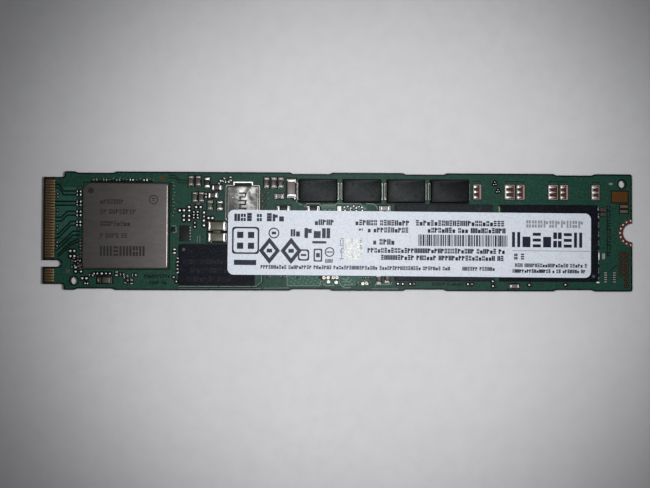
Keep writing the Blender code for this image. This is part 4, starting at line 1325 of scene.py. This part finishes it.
def label_print():
    ink = LabelPrint("label_print", ink_finish("label_ink", (0.014, 0.016, 0.034), 0.42))
    grey = LabelPrint("label_print_grey", ink_finish("label_ink_grey", (0.26, 0.27, 0.30), 0.42))
    ink.row(-19.4, -9.5, 1.65, 3.0, 0.36, 0.75)
    for size, line, place, corner in (
        ((5.0, 5.0), 0.3, (-17.3, -1.9), 0.5), ((2.1, 2.1), 0.28, (-6.6, -4.5), 0.4),
        ((1.6, 2.4), 0.26, (-3.95, -4.5), 0.2),
    ):
        ink.frame(size, line, INK_SPAN, place, corner)
    for dx, dy in CORNERS:
        ink.slab((1.15, 1.15), INK_SPAN, (-17.3 + dx, -1.9 + dy))
    for x in (-12.9, -8.9):
        ink.lozenge((3.9, 4.9), 0.86, (x, -3.75))
        ink.bar(x - 0.5, x + 0.5, -4.1, -3.4)
    for outer, inner, place in ((1.0, 0.78, (-12.1, -0.5)), (0.9, 0.7, (-1.8, -3.9))):
        ink.ring(outer, inner, INK_SPAN, place, 28)
    for bar in (
        (-19.4, -15.3, -6.45, -5.5), (-12.5, -11.7, -0.75, -0.25), (-5.0, -2.4, -2.35, -1.9),
        (-7.1, -6.1, -4.7, -4.3), (-4.3, -3.6, -4.9, -4.1), (-2.4, -1.2, -4.0, -3.8),
    ):
        ink.bar(*bar)
    for row in (
        (-9.6, -6.9, -1.1, 0.25), (-6.5, -0.6, -1.35, 0.5, 0.36, 0.8), (-4.6, -0.5, 1.05, 2.1),
        (-2.6, -1.0, -5.9, -5.2, 0.24),
    ):
        ink.row(*row)
    foil = LabelPrint("hologram_patch", foil_finish())
    foil.slab((3.2, 4.0), INK_SPAN, (2.65, -3.35), 0.25)
    for step in range(13):
        y = -1.5 - step * 0.31
        for x in (0.1, 0.35, 0.6):
            if RNG.random() < 0.75:
                ink.bar(x, x + 0.15, y, y + 0.2)
        if RNG.random() < 0.6:
            grey.bar(3.8, 4.15, y, y + 0.2)
    for row in (
        (-14.5, 20.9, -7.1, -6.4), (22.8, 29.1, -7.1, -6.4), (2.9, 12.9, 1.1, 2.1),
        (3.2, 4.6, 0.1, 0.5, 0.3), (5.2, 13.1, -0.2, 0.75), (6.2, 10.6, -2.45, -1.4),
        (5.2, 31.0, -3.95, -3.05, 0.3), (6.9, 31.0, -5.25, -4.35, 0.3),
        (14.1, 31.0, 1.15, 2.15, 0.27), (16.3, 31.0, -0.15, 0.8, 0.3),
    ):
        ink.row(*row)
    x = 14.6
    while x < 31.0:
        wide = RNG.choice((0.11, 0.14, 0.22, 0.34))
        ink.bar(x, x + wide, -2.6, -0.5)
        x += wide + RNG.choice((0.09, 0.12, 0.18))
    grey.row(33.9, 45.9, 1.0, 2.35, 0.24, 0.72)
    grey.bar(32.1, 46.6, -3.36, -3.24)
    for row in (
        (31.9, 46.1, -2.65, 0.15, 0.2), (32.4, 34.8, -4.95, -3.85, 0.24),
        (32.6, 46.0, -6.35, -5.65, 0.26), (32.1, 46.0, -7.4, -6.75, 0.32),
    ):
        ink.row(*row)


# ---- lower face


def lower_face():
    """The face that rests on the table: small parts between its packages, pours and vias."""
    for column in range(5):
        for y in (-0.2, 4.6):
            ceramic_part("brown", (-42.6 + column * 1.6, y), 1.0, 0.5, 0.5, 90, DOWN)
    for step in range(22):
        angle = 2 * pi * step / 22
        place = (-39.4 + 5.2 * cos(angle), 1.0 + 6.4 * sin(angle))
        resistor(place, 0.6, 0.32, 0.28, degrees(angle), side=DOWN)
    for x in (-12.5, -10.9, -9.3, -7.7):
        for y in (7.4, -4.0):
            ceramic_part("olive", (x, y), 1.6, 0.8, 0.75, 90, DOWN)
    for step in range(14):
        resistor((-26.5 + step * 2.1, 1.3), 0.62, 0.34, 0.28, 90, side=DOWN)
    for step in range(40):
        x, y = RNG.uniform(-48, 50), RNG.choice((9.6, 10.1, -9.6, -10.0))
        via(x, y + RNG.uniform(-0.25, 0.25), 0.16, DOWN)
    for step in range(9):
        solder_dot(-30.5 + step * 1.1, 5.6, 0.6, 0.07, DOWN)
    for number in (1, 2):
        box = Box(f"flash_lower_{number}_substrate")
        PRINT.frame((box.size.x + 0.6, box.size.y + 0.6), 0.12, PRINTED, box.middle.xy, side=DOWN)
        for step in range(7):
            place = (box.low.x + 1.5 + step * 2.5, box.high.y + 1.4)
            ceramic_part("brown", place, 1.0, 0.5, 0.5, 0, DOWN)
    for from_y, to_y in ((7.5, 6.0), (4.5, 3.6), (1.5, 1.2), (-1.5, -1.2)):
        bend = LEFT + 3.2
        path = [(LEFT + 2.3, from_y), (bend, from_y), (bend + abs(to_y - from_y), to_y),
                (-47.2, to_y)]
        signal_pair(path, 0.32, DOWN)


# ---- finishes of the CAD nodes


def refine(node, material, width, segments=2):
    """Give a CAD node its finish, and soften its edges."""
    obj = frame["nodes"][node]
    obj.data.materials.clear()
    obj.data.materials.append(material)
    obj.modifiers.new("weld", "WELD").merge_threshold = 1e-6
    bevel = obj.modifiers.new("edges", "BEVEL")
    bevel.limit_method, bevel.angle_limit = "ANGLE", radians(40)
    bevel.width, bevel.segments = width * MM, segments


def dress_cad():
    refine("circuit_board", BOARD, 0.03, 1)
    refine("screw_pad", PAD_COPPER, 0.01, 1)
    refine("controller_lid", lid_finish(), 0.05)
    refine("controller_substrate", SUBSTRATE, 0.02, 1)
    refine("controller_die", SILICON, 0.01, 1)
    for node in frame["nodes"]:
        if node.endswith("_mould_cap"):
            # The DRAM and the far flash packages get the darker copy: painted shade.
            dark = "dram" in node or node.startswith("flash_upper_2")
            refine(node, SHADED_PACKAGE if dark else PACKAGE, 0.035)
        elif node.endswith("_substrate") and node != "controller_substrate":
            refine(node, SUBSTRATE, 0.01, 1)
        elif node.endswith(("_die_stack", "_dies")):
            refine(node, SILICON, 0.01, 1)
        elif node.endswith(("_anode", "_cathode")):
            # The hold-up capacitors' CAD terminals get the dark painted shade finish in place of
            # tin.
            refine(node, SHADED_TERMINAL_INK, 0.02)
        elif node.startswith("inductor_terminal"):
            refine(node, DARK_METAL, 0.02)
    refine("inductor_winding", WINDING, 0.02, 1)


# ---- floor, light, camera


def stage():
    """A sheet of paper, a hundredth of a millimetre under the lowest point."""
    data = bpy.data.meshes.new("floor")
    half, height = 1.2, cad_bounds[0].z - 0.00001
    corners = ((-1, -1), (1, -1), (1, 1), (-1, 1))
    data.from_pydata([(x * half, y * half, height) for x, y in corners], [], [(0, 1, 2, 3)])
    paper = Finish("floor_paper", (0.74, 0.74, 0.76), 0.8, specular=0.2)
    paper.speckle(30.0, (0.70, 0.70, 0.72), 0.35, 0.8).speckle(3.0, (0.69, 0.69, 0.71), 0.4, 0.8)
    data.materials.append(paper.relief(0.6, 0.01).done())
    floor = added("floor", data)


def lights():
    """A lamp beside the lens that lights a wide round patch; a dim room bright at its horizon."""
    lamp = bpy.data.lights.new("key", "SPOT")
    lamp.energy, lamp.shadow_soft_size = 0.385, 0.008
    lamp.spot_size, lamp.spot_blend = radians(78), 0.83
    key = added("key", lamp)
    distance = 108.0
    key.location = Vector((3.4, -3.0, FACE[UP] + distance)) * MM
    key.visible_camera = False
    world = bpy.data.worlds.new("studio")
    world.use_nodes = True
    tree = world.node_tree
    height = output_of(tree, "SeparateXYZ", "Z", {0: output_of(tree, "TexCoord", "Generated")})
    strength = mapped(tree, height, 0.05, 0.42, 1.5, 0.05)
    feed(tree, tree.nodes["Background"], {"Strength": strength, "Color": (0.97, 0.98, 1.0, 1.0)})
    bpy.context.scene.world = world


def camera():
    """Straight above the card, a little off its middle, as close as the photograph was taken."""
    distance, sensor, pixels_per_mm, picture_width = 140.0, 36.0, 5.368, 650.0
    data = bpy.data.cameras.new("camera")
    data.sensor_width = sensor
    data.lens = pixels_per_mm * distance * sensor / picture_width
    data.clip_start, data.clip_end = 0.01, 10.0
    obj = added("camera", data)
    obj.rotation_euler = [radians(angle) for angle in (1.17, -0.97, 0.225)]
    obj.location = Vector((-5.0, -5.18, FACE[UP] + distance)) * MM
    bpy.context.scene.camera = obj


def main():
    for obj in list(bpy.context.scene.objects):
        if obj.type in ("LIGHT", "CAMERA") or obj.name == "Cube":
            bpy.data.objects.remove(obj)
    bpy.context.scene.view_settings.view_transform = "Standard"
    for area in (
        contact_fingers, signal_pairs, left_of_controller, below_controller, above_controller,
        controller_marks, cad_ceramics, power_section, power_chip, inductor, package_details,
        package_outlines, holdup_capacitors, empty_footprints, output_section, lower_strip,
        right_end, mask_margin, label_film, label_print, lower_face,
    ):
        area()
    for piece in Piece.made:
        piece.close()
    dress_cad()
    stage()
    lights()
    camera()


main()
